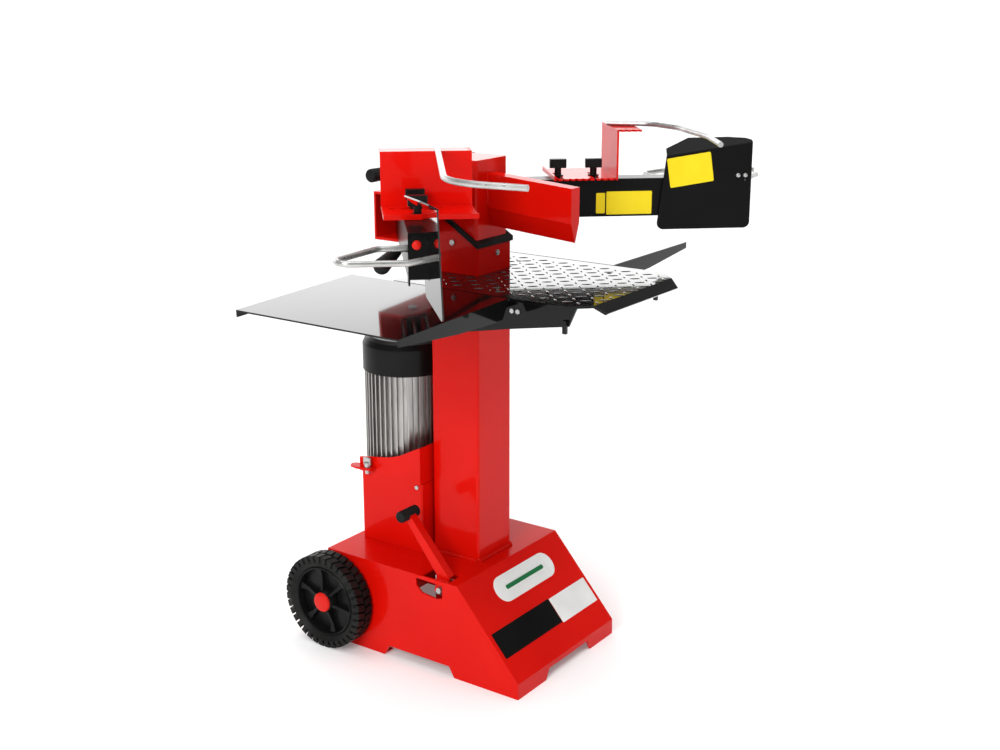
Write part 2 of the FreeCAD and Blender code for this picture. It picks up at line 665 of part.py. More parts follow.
def slot_hole(s, u, z0, z1):
    r = KNOB_BOLT_R + 0.6
    bar = vbox(s, u - r, u + r, -SLOT_HALF, SLOT_HALF, z0, z1)
    ends = [cyl(r, (u, v, z0), (0, 0, 1), z1 - z0) for v in (-SLOT_HALF, SLOT_HALF)]
    return fuse([bar] + ends)


def knobs(side):
    """Tee knobs that clamp the claw: a ribbed cross bar on a stem and bolt."""
    s, frame = arm_frame(side)
    seat = ARM_TOP + 0.2 + CLAW_SHEET + 0.2
    for name, u in zip(("inner", "outer"), KNOB_U[side]):
        washer = cyl(11, (u, 0, seat), (0, 0, 1), 2)
        stem = cyl(7, (u, 0, seat + 2), (0, 0, 1), 16)
        along, across = (17, 7) if side == "right" else (7, 17)
        bar = box(u - along, u + along, -across, across, seat + 16, seat + 34)
        bar = bar.makeFillet(3.0, [e for e in bar.Edges if is_upright(e)])
        bolt = cyl(KNOB_BOLT_R - RUNNING, (u, 0, ARM_TOP - 22), (0, 0, 1), seat + 6 - ARM_TOP + 22)
        nut = cyl(10, (u, 0, ARM_TOP - ARM_SHEET - 8.2), (0, 0, 1), 8)
        knob = fuse([washer, stem, bar, bolt, nut])
        add(side + "_knob_" + name, place(knob, frame))


def log_rod(side):
    """The bent rod on top of the claw that keeps a log from falling sideways."""
    s, frame = arm_frame(side)
    z = ARM_TOP + 0.2 + CLAW_WEB + LOG_ROD_R
    if side == "left":
        runs = [(152, -43), (600, -22), (672, -135)]
        bends = [110]
    else:
        runs = [(262, 38), (350, 8), (385, -70), (403, -230), (392, -360)]
        bends = [45, 110, 200]
    path = [(u, s * v, z) for u, v in runs]
    add(side + "_log_rod", place(tube_path(path, LOG_ROD_R, bends), frame))


def guard(side):
    """Hand guard: a plate with round corners whose top is folded outwards."""
    s, frame = arm_frame(side)
    v = GUARD_V
    t = GUARD_SHEET
    crease_in, crease_tip = 992.0, 1018.0
    outline = [(GUARD_U0, GUARD_Z0), (GUARD_U1, GUARD_Z0), (GUARD_U1, crease_tip),
               (GUARD_U0 + 18, crease_in)]

    def panel(points, v0, v1):
        lo, hi = sorted((s * v0, s * v1))
        face = polygon([(u, lo, z) for u, z in points])
        return face.extrude(Vector(0, hi - lo, 0))

    plate = panel(outline, v - t, v)
    low = [e for e in plate.Edges if is_cross(e) and e.CenterOfMass.z < GUARD_Z0 + 1]
    plate = plate.makeFillet(13.0, low)
    fold = [(GUARD_U0 + 18, v - t, crease_in - 2), (GUARD_U1, v - t, crease_tip - 2),
            (GUARD_U1 - 1, v + 5, crease_tip), (GUARD_U1 - 12, v + 14, crease_tip),
            (GUARD_U1 - 45, v + 24, crease_tip), (GUARD_U0 + 70, v + 34, crease_in + 30),
            (GUARD_U0 + 32, v + 29, crease_in), (GUARD_U0 + 22, v + 23, crease_in)]
    screws = [cyl(3, (u, s * (v - t - 2.5), GUARD_SCREW_Z), (0, s, 0), 3) for u in GUARD_SCREW_U]
    solid = fuse([plate, fold_panel(s, fold, t)] + screws)
    if side == "left":
        solid = skew_guard(solid)
    else:
        feet = [vbox(s, u - 9, u + 9, v, -ARM_HALF, z - 9, z + 9)
                for u, z in ((GUARD_U0 + 20, 925), (GUARD_U0 + 20, 890))]
        solid = fuse([solid] + feet)
    add(side + "_guard", place(solid, frame).cut(PARTS[side + "_hand_hoop"]))


def skew_guard(solid):
    """The left guard stands lower and askew, notched round the closed tip of its arm."""
    v = LEFT_GUARD_V
    solid.translate(Vector(0, GUARD_V - v, LEFT_GUARD_DROP))
    foot = Vector(GUARD_U1, -v, GUARD_Z0 + LEFT_GUARD_DROP)
    solid.rotate(foot, Vector(1, 0, 0), LEFT_GUARD_LEAN)
    solid.rotate(foot, Vector(0, 0, 1), LEFT_GUARD_YAW)
    notch = vbox(-1, ARM_ROOT, ARM_TIP, -ARM_HALF - 3, ARM_HALF + 3,
                 ARM_TOP - ARM_HEIGHT - 3, ARM_TOP + 2)
    return solid.cut(notch)


def is_cross(edge):
    if len(edge.Vertexes) != 2:
        return False
    a = edge.Vertexes[0].Point
    b = edge.Vertexes[1].Point
    return abs(a.x - b.x) < 1e-6 and abs(a.z - b.z) < 1e-6


def fold_panel(s, points, t):
    """A flat plate of thickness t through outline points that share one plane."""
    highest = max(points, key=lambda p: p[2])
    a, b, c = (Vector(p[0], s * p[1], p[2]) for p in (points[0], points[1], highest))
    normal = (b - a).cross(c - a).normalize()
    flat = []
    for u, v, z in points:
        p = Vector(u, s * v, z)
        flat.append(p - normal * ((p - a).dot(normal)))
    face = Part.Face(Part.makePolygon(flat + flat[:1]))
    up = normal if normal.z > 0 else normal * -1
    return face.extrude(up * t)


HOOP_POINTS = {
    "left": [(520, -16, 925), (545, 30, 922), (582, 134, 930), (545, 141, 929), (425, 76, 922),
             (412, 25, 920)],
    "right": [(535, -28, 941), (585, 45, 941), (606, 118, 941), (560, 136, 941),
              (400, 124, 941), (352, 84, 941), (362, 25, 941)],
}
HOOP_BENDS = {"left": [30, 16, 16, 22], "right": [30, 20, 20, 30, 22]}


def hoop(side):
    """A wire hoop round the operator's hand, from the guard back to the arm."""
    s, frame = arm_frame(side)
    path = [(u, s * v, z) for u, v, z in HOOP_POINTS[side]]
    add(side + "_hand_hoop", place(tube_path(path, HOOP_R, HOOP_BENDS[side]), frame).cut(PARTS[side + "_arm"]))


def handle(side):
    """Operating handle: a crank inside the arm, its shaft and an elbow for the grip."""
    s, frame = arm_frame(side)
    r = HANDLE_PIN_R
    shaft = cyl(r, (HANDLE_U, -s * 21.9, HANDLE_Z), (0, s, 0), 56.9)
    crank = [(HANDLE_U - 10, HANDLE_Z + 12), (HANDLE_U + 10, HANDLE_Z + 12),
             (HANDLE_U + 8, HANDLE_Z - 30), (HANDLE_U - 8, HANDLE_Z - 30)]
    lo, hi = sorted((-s * 10, -s * 4))
    crank = prism_y(crank, lo, hi)
    peg = cyl(4, (HANDLE_U, -s * 11, HANDLE_Z - 22), (0, s, 0), 17)
    root = (HANDLE_U, s * 35, HANDLE_Z)
    du, v, dz = HANDLE_TIP[side]
    tip = (HANDLE_U + du, s * v, HANDLE_Z + dz)
    along = Vector(*tip) - Vector(*root)
    stub = Part.makeCylinder(r, along.Length, Vector(*root), along)
    elbow = Part.makeSphere(r, Vector(*root))
    add(side + "_handle", place(fuse([shaft, crank, peg, elbow, stub]), frame))
    unit = Vector(along).normalize()
    start = Vector(*root) + unit * 12
    reach = along.Length - 6
    cone = Part.makeCone(9.0, GRIP_END_R, reach, start, unit)
    cap = Part.makeSphere(GRIP_END_R, start + unit * reach)
    grip = cone.fuse(cap)
    grip = grip.cut(Part.makeCylinder(r, along.Length - 12, start, unit))
    add(side + "_handle_grip", place(grip.removeSplitter(), frame))


def link(side):
    """Flat pull bar inside the arm, worked by the handle's crank peg."""
    s, frame = arm_frame(side)
    z = HANDLE_Z - 22
    bar = vbox(s, 40, HANDLE_U + 14, 1, 4.5, z - 8, z + 8)
    slot = [cyl(4.3, (HANDLE_U, -20, z + dz), (0, 1, 0), 40) for dz in (-3, 3)]
    slot.append(box(HANDLE_U - 4.3, HANDLE_U + 4.3, -20, 20, z - 3, z + 3))
    add(side + "_link_bar", place(cut(bar, slot), frame))



def valve_linkage():
    """Rocker beam behind the column, the upright shift rod and the valve spool."""
    z = 902.0
    beam = box(-34, 34, 66, 92, z - 3, z + 3)
    rod = cyl(4, (LINK_X, LINK_Y, 396), (0, 0, 1), z - 396)
    spool = cyl(6, (LINK_X, LINK_Y, 366), (0, 0, 1), 30)
    add("shift_rod", fuse([beam, rod, spool]))
    block = box(-12, 50, 66, 81.5, HOUSING_TOP, HOUSING_TOP + 44)
    block = block.cut(cyl(6 + RUNNING, (LINK_X, LINK_Y, HOUSING_TOP - 1), (0, 0, 1), 60))
    add("control_valve", block)
    springs = []
    for x in (-24.0, 0.0):
        springs.append(coil_spring(x, 82.0, ARM_TOP - ARM_HEIGHT - 2, z - 3))
    add("return_springs", Part.makeCompound(springs))


def coil_spring(x, y, z0, z1):
    """A closed sleeve with ridges that stands for one compression spring."""
    turns = 5
    pitch = (z1 - z0) / turns
    outline = [(5.2, 0)]
    for k in range(turns):
        outline.append((7.0, k * pitch + 0.25 * pitch))
        outline.append((7.0, k * pitch + 0.6 * pitch))
        outline.append((6.0, (k + 0.9) * pitch))
    outline.append((5.2, z1 - z0))
    return lathe(outline, (x, y, z0))


# ---- motor and pump ---------------------------------------------------------------------------
def pump_housing():
    t = HOUSING_SHEET
    h = HOUSING_HALF
    outer = box(-h, h, HOUSING_Y0, HOUSING_Y1, BASE_TOP, HOUSING_TOP)
    outer = fillet_upright(outer, 5, 50)
    inner = box(-h + t, h - t, HOUSING_Y0 + t, HOUSING_Y1 - t, BASE_TOP - 1, HOUSING_TOP - 5)
    tools = [inner, cyl(48, (0, MOTOR_Y, HOUSING_TOP - 10), (0, 0, 1), 20),
             cyl(7, (0, 71, HOUSING_TOP - 10), (0, 0, 1), 20),
             cyl(2.7, (-h - 1, HOUSING_BOLT_Y, HOUSING_BOLT_Z), (1, 0, 0), 10)]
    add("pump_housing", cut(outer, tools))


def pump_collar():
    """The scooped cowl round the foot of the motor, higher beside the column."""
    h = HOUSING_HALF + 3
    t = 2.5
    y0 = HOUSING_Y0 + 1
    y1 = HOUSING_Y1 + 2
    z0 = HOUSING_TOP + 0.5
    body = box(-h, h, y0, y1, z0, 430)
    body = body.cut(box(-h + t, h - t, y0 + t, y1 + 1, z0 - 1, 431))
    wave = [Vector(0, y0 - 2, 430), Vector(0, 89, 417), Vector(0, 116, 403),
            Vector(0, 160, 391), Vector(0, y1 + 2, 380)]
    curve = Part.BSplineCurve()
    curve.interpolate(wave)
    edge = curve.toShape()
    top = Part.makePolygon([wave[-1], Vector(0, y1 + 2, 460), Vector(0, y0 - 2, 460), wave[0]])
    above = Part.Face(Part.Wire([edge] + top.Edges))
    above.translate(Vector(-120, 0, 0))
    body = body.cut(above.extrude(Vector(240, 0, 0)))
    tab = [(-h + 2, VENT_Y - 16), (VENT_X - 9, VENT_Y - 16), (VENT_X - 13, VENT_Y + 22),
           (VENT_X - 9, VENT_Y + 38), (VENT_X + 1, VENT_Y + 43), (VENT_X + 9, VENT_Y + 37),
           (-h + 2, VENT_Y + 20)]
    ear = prism_z(tab, VENT_SEAT - 4, VENT_SEAT)
    ear = ear.cut(cyl(5, (VENT_X, VENT_Y, z0), (0, 0, 1), 20))
    motor = cyl(MOTOR_R + 0.5, (0, MOTOR_Y, z0 - 1), (0, 0, 1), 200)
    add("pump_collar", fuse([body, ear]).cut(motor))


def gear_pump():
    body = cyl(42, (0, MOTOR_Y, 250), (0, 0, 1), HOUSING_TOP - 250)
    body = body.fuse(box(-34, 34, MOTOR_Y - 40, MOTOR_Y + 40, 236, 262))
    body = body.fuse(cyl(8, (-66, MOTOR_Y, 290), (1, 0, 0), 30))
    body = body.cut(cyl(SHAFT_R + 1, (0, MOTOR_Y, 300), (0, 0, 1), 60))
    add("gear_pump", body.removeSplitter())


def motor():
    flange = cyl(70, (0, MOTOR_Y, HOUSING_TOP), (0, 0, 1), 6)
    core = cyl(76, (0, MOTOR_Y, HOUSING_TOP + 6), (0, 0, 1), MOTOR_TOP - HOUSING_TOP - 6)
    fins = []
    count = 44
    for k in range(count):
        fin = box(70, MOTOR_R, -1.5, 1.5, 372, MOTOR_TOP)
        fin.rotate(Vector(0, 0, 0), Vector(0, 0, 1), 360.0 * k / count)
        fin.translate(Vector(0, MOTOR_Y, 0))
        fins.append(fin)
    body = fuse([flange, core] + fins)
    bore = cyl(58, (0, MOTOR_Y, HOUSING_TOP + 14), (0, 0, 1), MOTOR_TOP - HOUSING_TOP - 28)
    shaft = cyl(SHAFT_R + RUNNING, (0, MOTOR_Y, HOUSING_TOP - 5), (0, 0, 1), 300)
    stator = cyl(58, (0, MOTOR_Y, 390), (0, 0, 1), 130)
    stator = stator.cut(cyl(36, (0, MOTOR_Y, 380), (0, 0, 1), 200))
    add("motor_body", cut(body, [bore, shaft]).fuse(stator).removeSplitter())
    rotor = cyl(SHAFT_R, (0, MOTOR_Y, 302), (0, 0, 1), 300)
    rotor = rotor.fuse(cyl(35, (0, MOTOR_Y, 392), (0, 0, 1), 126))
    add("motor_rotor", rotor.removeSplitter())
    add("motor_fan", motor_fan())


def motor_fan():
    z = MOTOR_TOP + 6
    hub = cyl(24, (0, MOTOR_Y, z), (0, 0, 1), 26)
    disc = cyl(74, (0, MOTOR_Y, z), (0, 0, 1), 3)
    blades = []
    for k in range(8):
        blade = box(20, 74, -1.5, 1.5, z, z + 24)
        blade.rotate(Vector(0, 0, 0), Vector(0, 0, 1), 45.0 * k)
        blade.translate(Vector(0, MOTOR_Y, 0))
        blades.append(blade)
    fan = fuse([hub, disc] + blades)
    return fan.cut(cyl(SHAFT_R, (0, MOTOR_Y, z - 5), (0, 0, 1), 60))


def fan_cover():
    outline = [(MOTOR_R + 0.3, MOTOR_TOP - 2), (COVER_R, MOTOR_TOP - 2),
               (COVER_R, COVER_TOP - 16), (COVER_R - 5, COVER_TOP - 5),
               (COVER_R - 16, COVER_TOP), (0, COVER_TOP), (0, COVER_TOP - 2),
               (COVER_R - 17, COVER_TOP - 2), (COVER_R - 7, COVER_TOP - 7),
               (COVER_R - 2.4, COVER_TOP - 17), (COVER_R - 2.4, MOTOR_TOP + 1),
               (MOTOR_R + 0.3, MOTOR_TOP + 1)]
    cover = lathe(outline, (0, MOTOR_Y, 0))
    slots = []
    for ring, count in ((26, 8), (44, 14), (60, 20)):
        for k in range(count):
            a = math.radians(360.0 * k / count)
            at = (ring * math.cos(a), MOTOR_Y + ring * math.sin(a), COVER_TOP - 5)
            slots.append(cyl(5, at, (0, 0, 1), 10))
    add("fan_cover", cut(cover, slots))


def switch_box():
    """Switch and plug inlet box on the motor's far side, with its two buttons."""
    x0 = MOTOR_R + 1.0
    case = box(x0 - 6, x0 + 52, MOTOR_Y - 38, MOTOR_Y + 38, 452, 556)
    case = fillet_upright(case, 8, 50)
    case = case.cut(cyl(MOTOR_R + 0.6, (0, MOTOR_Y, 440), (0, 0, 1), 130))
    inlet = cyl(20, (x0 + 24, MOTOR_Y, 432), (0, 0, 1), 21)
    inlet = inlet.cut(cyl(16, (x0 + 24, MOTOR_Y, 431), (0, 0, 1), 18))
    pockets = []
    buttons = {"start_button": 522.0, "stop_button": 486.0}
    face = x0 + 52
    for name, z in buttons.items():
        pockets.append(cyl(11.3, (face - 16, MOTOR_Y, z), (1, 0, 0), 20))
        add(name, cyl(11, (face - 9, MOTOR_Y, z), (1, 0, 0), 12))
    add("switch_box", cut(fuse([case, inlet]), pockets))


def oil_pipe():
    path = [(0, 71, HOUSING_TOP), (0, 71, 110), (0, BARREL_R + 0.2, 110)]
    add("oil_pipe", tube_path(path, 5.5, 13))


def vent_screw():
    """Wing screw that vents the oil tank, in the ear at the rear of the cowl."""
    x = VENT_X
    y = VENT_Y
    z = VENT_SEAT
    stem = cyl(5 - RUNNING, (x, y, z - 14), (0, 0, 1), 15)
    head = cyl(7, (x, y, z + 0.3), (0, 0, 1), 10)
    wing = box(x - 2, x + 2, y - 9, y + 9, z + 5, z + 20)
    add("vent_screw", fuse([stem, head, wing]))


# ---- fasteners --------------------------------------------------------------------------------
def fasteners():
    bolts = []
    half = COLUMN / 2
    bolts.append(hex_bolt((-half, 1, 850), (-1, 0, 0), 3.2, 3.9, 3.0))
    bolts.append(hex_bolt((half, 1, 850), (1, 0, 0), 3.2, 3.9, 3.0))
    bolts.append(hex_bolt((8, -half, 827), (0, -1, 0), 3.2, 3.9, 3.0))
    z = TABLE_TOP - TABLE_SHEET - 4
    for s in (-1, 1):
        for y in (-40, -250):
            bolts.append(hex_bolt((s * 110, y, z), (0, 0, -1), 5.0, 7.0, 5.0))
        for y in CHEEK_BOLT_Y:
            bolts.append(hex_bolt((s * 160, y, 764), (s, 0, 0), 2.6, 3.9, 3.0))
    bolts.append(hex_bolt((-HOUSING_HALF, HOUSING_BOLT_Y, HOUSING_BOLT_Z), (-1, 0, 0), 2.6, 2.9))
    add("bolts", Part.makeCompound(bolts))


# ---- build --------------------------------------------------------------------------------
def build():
    base_housing()
    axle()
    base_lever()
    column()
    guide_pads()
    ram()
    cylinder()
    wedge()
    table_plate()
    table_bracket()
    side_hinge_pins()
    arm_bracket()
    transport_handle()
    for side in ("left", "right"):
        wheel(side)
        side_table(side)
        arm(side)
        claw(side)
        knobs(side)
        log_rod(side)
        hoop(side)
        guard(side)
        handle(side)
        link(side)
    valve_linkage()
    pump_housing()
    pump_collar()
    gear_pump()
    motor()
    fan_cover()
    switch_box()
    oil_pipe()
    vent_screw()
    fasteners()
    add("pivot_pins", Part.makeCompound(PINS))


def export():
    os.makedirs("parts", exist_ok=True)
    for name in sorted(PARTS):
        shape = PARTS[name]
        shape.exportStep("parts/" + name + ".step")
        solids = len(shape.Solids)
        print(name, "solids", solids, "valid", shape.isValid(), "volume", round(shape.Volume))
    print("nodes", len(PARTS))


build()
export()
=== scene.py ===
"""Looks for the vertical log splitter: materials, small details, floor, light and camera."""

import json
import math

import bmesh
import bpy
from mathutils import Matrix, Vector

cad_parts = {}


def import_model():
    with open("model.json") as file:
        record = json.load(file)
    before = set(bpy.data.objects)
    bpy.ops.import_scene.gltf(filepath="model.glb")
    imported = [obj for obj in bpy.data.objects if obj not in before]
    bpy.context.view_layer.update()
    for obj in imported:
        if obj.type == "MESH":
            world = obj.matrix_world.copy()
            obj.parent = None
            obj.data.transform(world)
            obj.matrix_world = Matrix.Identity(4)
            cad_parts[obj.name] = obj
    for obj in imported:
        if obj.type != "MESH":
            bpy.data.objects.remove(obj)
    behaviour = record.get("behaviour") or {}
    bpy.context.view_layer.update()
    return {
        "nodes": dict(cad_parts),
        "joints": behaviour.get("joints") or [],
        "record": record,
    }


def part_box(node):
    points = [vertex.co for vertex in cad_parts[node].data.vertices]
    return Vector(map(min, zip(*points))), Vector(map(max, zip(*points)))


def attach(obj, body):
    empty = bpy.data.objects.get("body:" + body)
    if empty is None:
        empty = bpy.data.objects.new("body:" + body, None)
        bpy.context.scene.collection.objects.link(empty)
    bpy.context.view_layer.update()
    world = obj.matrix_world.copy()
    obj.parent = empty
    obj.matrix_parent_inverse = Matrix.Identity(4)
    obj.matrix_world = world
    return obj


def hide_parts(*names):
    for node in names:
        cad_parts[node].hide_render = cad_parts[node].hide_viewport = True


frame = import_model()
NODES = frame["nodes"]

# ---- camera: where it stands and how it looks, in metres and degrees ---------------------
CAMERA_AT = (-2.1782, -1.6044, 1.3444)
CAMERA_AZIMUTH = -54.84
CAMERA_PITCH = 15.94
LENS = 50.46
SENSOR = 36.0

# ---- light: strengths of the world, power of the lamps in watts, spread in degrees -------
SURROUND = 0.24
BACKDROP = 2.6
BACKDROP_DIRECTION = (0.80, 0.60, 0.0)
BACKDROP_SECTOR = (0.35, 0.85)
BACKDROP_HEIGHT = (0.22, 0.50)
OVERHEAD = 1.9
OVERHEAD_SPREAD = 70
KEY_POWER = 95
FILL_POWER = 4
EXPOSURE = 0.25

# ---- floor, in metres --------------------------------------------------------------------
FLOOR_REACH = 200.0
FLOOR_LEVEL = -0.0005
FLOOR_GLOW = 0.13

# ---- how round pieces are divided, and how close to the axis counts as on it -------------
FINE_STEPS = 96
COARSE_STEPS = 32
ON_AXIS = 1e-7
WELD_DISTANCE = 1e-6

# ---- noise values between these two are spread over a material's whole range -------------
NOISE_LOW = 0.3
NOISE_HIGH = 0.7


# ---- mesh helpers ------------------------------------------------------------------------
def finish_mesh(bm, name, smooth=40.0):
    """Turns a bmesh into an object, shaded smooth except across sharp edges."""
    bmesh.ops.remove_doubles(bm, verts=bm.verts, dist=WELD_DISTANCE)
    bmesh.ops.recalc_face_normals(bm, faces=bm.faces)
    mesh = bpy.data.meshes.new(name)
    limit = math.radians(smooth)
    for face in bm.faces:
        face.smooth = True
    for edge in bm.edges:
        if len(edge.link_faces) == 2 and edge.calc_face_angle() > limit:
            edge.smooth = False
    bm.to_mesh(mesh)
    bm.free()
    piece = bpy.data.objects.new(name, mesh)
    bpy.context.scene.collection.objects.link(piece)
    return piece


def settle(piece, body, slot, material, *replaced):
    """Gives a piece its material and the body that it moves with; the slot argument is not used."""
    piece.data.materials.clear()
    piece.data.materials.append(material)
    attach(piece, body)
    if replaced:
        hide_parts(*replaced)
    return piece


def lathe_into(bm, outline, frame_matrix, steps=64, closed=True):
    """Turns an (r, h) outline about the local Z axis of frame_matrix."""
    rings = []
    for k in range(steps):
        a = 2 * math.pi * k / steps
        ring = [bm.verts.new(frame_matrix @ Vector((r * math.cos(a), r * math.sin(a), h)))
                for r, h in outline]
        rings.append(ring)
    count = len(outline)
    last = count if closed else count - 1
    for k in range(steps):
        a = rings[k]
        b = rings[(k + 1) % steps]
        for i in range(last):
            j = (i + 1) % count
            corners = [a[i], a[j], b[j], b[i]]
            if outline[i][0] < ON_AXIS and outline[j][0] < ON_AXIS:
                continue
            if outline[i][0] < ON_AXIS:
                corners = [a[i], a[j], b[j]]
            elif outline[j][0] < ON_AXIS:
                corners = [a[i], a[j], b[i]]
            bm.faces.new(corners)


def axes_matrix(origin, x_axis, z_axis):
    """A frame at origin with its Z along z_axis and its X as near x_axis as it can be."""
    z = Vector(z_axis).normalized()
    y = z.cross(Vector(x_axis)).normalized()
    x = y.cross(z)
    rotation = Matrix((x, y, z)).transposed().to_4x4()
    return Matrix.Translation(Vector(origin)) @ rotation


def block_into(bm, corners_low, corners_high):
    """A block between two rings of points of the same length."""
    low = [bm.verts.new(c) for c in corners_low]
    high = [bm.verts.new(c) for c in corners_high]
    bm.faces.new(low[::-1])
    bm.faces.new(high)
    for i in range(len(low)):
        j = (i + 1) % len(low)
        bm.faces.new([low[i], low[j], high[j], high[i]])


def rounded_outline(half_x, half_y, radius, steps=6):
    """Points round a rectangle with round corners, centred on zero."""
    points = []
    centres = [(1, 1, 0), (-1, 1, 90), (-1, -1, 180), (1, -1, 270)]
    for sx, sy, start in centres:
        for k in range(steps + 1):
            a = math.radians(start + 90.0 * k / steps)
            points.append((sx * (half_x - radius) + radius * math.cos(a),
                           sy * (half_y - radius) + radius * math.sin(a)))
    return points


# ---- materials ---------------------------------------------------------------------------
def new_material(name):
    """A material with one Principled shader."""
    material = bpy.data.materials.new(name)
    material.use_nodes = True
    nodes = material.node_tree.nodes
    nodes.clear()
    shader = nodes.new("ShaderNodeBsdfPrincipled")
    output = nodes.new("ShaderNodeOutputMaterial")
    material.node_tree.links.new(shader.outputs["BSDF"], output.inputs["Surface"])
    return material, shader


def noise(material, scale, detail=3.0, stretch=(1, 1, 1)):
    """Noise in the object's own coordinates."""
    nodes = material.node_tree.nodes
    links = material.node_tree.links
    coordinates = nodes.new("ShaderNodeTexCoord")
    mapping = nodes.new("ShaderNodeMapping")
    mapping.inputs["Scale"].default_value = stretch
    texture = nodes.new("ShaderNodeTexNoise")
    texture.inputs["Scale"].default_value = scale
    texture.inputs["Detail"].default_value = detail
    links.new(coordinates.outputs["Object"], mapping.inputs["Vector"])
    links.new(mapping.outputs["Vector"], texture.inputs["Vector"])
    return texture.outputs["Fac"]


def spread(material, value, low, high):
    """Maps a noise value onto the range from low to high."""
    node = material.node_tree.nodes.new("ShaderNodeMapRange")
    node.inputs["From Min"].default_value = NOISE_LOW
    node.inputs["From Max"].default_value = NOISE_HIGH
    node.inputs["To Min"].default_value = low
    node.inputs["To Max"].default_value = high
    material.node_tree.links.new(value, node.inputs["Value"])
    return node.outputs["Result"]


def two_tone(material, shader, value, dark, light):
    """Base colour that drifts between two tones."""
    ramp = material.node_tree.nodes.new("ShaderNodeValToRGB")
    ramp.color_ramp.elements[0].position = NOISE_LOW
    ramp.color_ramp.elements[0].color = (*dark, 1)
    ramp.color_ramp.elements[1].position = NOISE_HIGH
    ramp.color_ramp.elements[1].color = (*light, 1)
    material.node_tree.links.new(value, ramp.inputs["Fac"])
    material.node_tree.links.new(ramp.outputs["Color"], shader.inputs["Base Color"])


def relief(material, shader, height, strength, distance, edge=0.0):
    """Bump from a height value, on top of a soft rounding of the edges."""
    nodes = material.node_tree.nodes
    links = material.node_tree.links
    bump = nodes.new("ShaderNodeBump")
    bump.inputs["Strength"].default_value = strength
    bump.inputs["Distance"].default_value = distance
    links.new(height, bump.inputs["Height"])
    if edge:
        bevel = nodes.new("ShaderNodeBevel")
        bevel.samples = 4
        bevel.inputs["Radius"].default_value = edge
        links.new(bevel.outputs["Normal"], bump.inputs["Normal"])
    links.new(bump.outputs["Normal"], shader.inputs["Normal"])


COAT_ROUGHNESS = 0.05
COAT_IOR = 1.25
ORANGE_PEEL = 0.0003
GRAIN_DEPTH = 0.0004
METAL_EDGE = 0.0008


def paint(name, dark, light, rough, coat, edge=0.0015, peel=0.03, shine=0.3):
    """Powder coat: faint colour drift, uneven gloss, orange peel and round edges."""
    material, shader = new_material(name)
    two_tone(material, shader, noise(material, 5.0), dark, light)
    gloss = spread(material, noise(material, 7.0, 1.0), rough * 0.92, rough * 1.1)
    material.node_tree.links.new(gloss, shader.inputs["Roughness"])
    shader.inputs["Specular IOR Level"].default_value = shine
    shader.inputs["Coat Weight"].default_value = coat
    shader.inputs["Coat Roughness"].default_value = COAT_ROUGHNESS
    shader.inputs["Coat IOR"].default_value = COAT_IOR
    relief(material, shader, noise(material, 420.0, 1.0), peel, ORANGE_PEEL, edge)
    return material


def metal(name, dark, light, rough, grain, stretch=(1, 1, 1), strength=0.15, metallic=1.0):
    """Bare or plated metal with grain along one direction."""
    material, shader = new_material(name)
    shader.inputs["Metallic"].default_value = metallic
    two_tone(material, shader, noise(material, grain * 0.35, 4.0, stretch), dark, light)
    sheen = spread(material, noise(material, grain, 3.0, stretch), rough * 0.75, rough * 1.3)
    material.node_tree.links.new(sheen, shader.inputs["Roughness"])
    scratches = noise(material, grain * 2.0, 3.0, stretch)
    relief(material, shader, scratches, strength, GRAIN_DEPTH, METAL_EDGE)
    return material


def moulded(name, dark, light, rough, grain, strength=0.2, edge=0.0008, shine=0.12):
    """Moulded plastic or rubber with a fine grain."""
    material, shader = new_material(name)
    two_tone(material, shader, noise(material, 14.0, 4.0), dark, light)
    dull = spread(material, noise(material, 16.0, 1.0), rough * 0.92, rough * 1.1)
    material.node_tree.links.new(dull, shader.inputs["Roughness"])
    shader.inputs["Specular IOR Level"].default_value = shine
    relief(material, shader, noise(material, grain, 2.0), strength, GRAIN_DEPTH, edge)
    return material


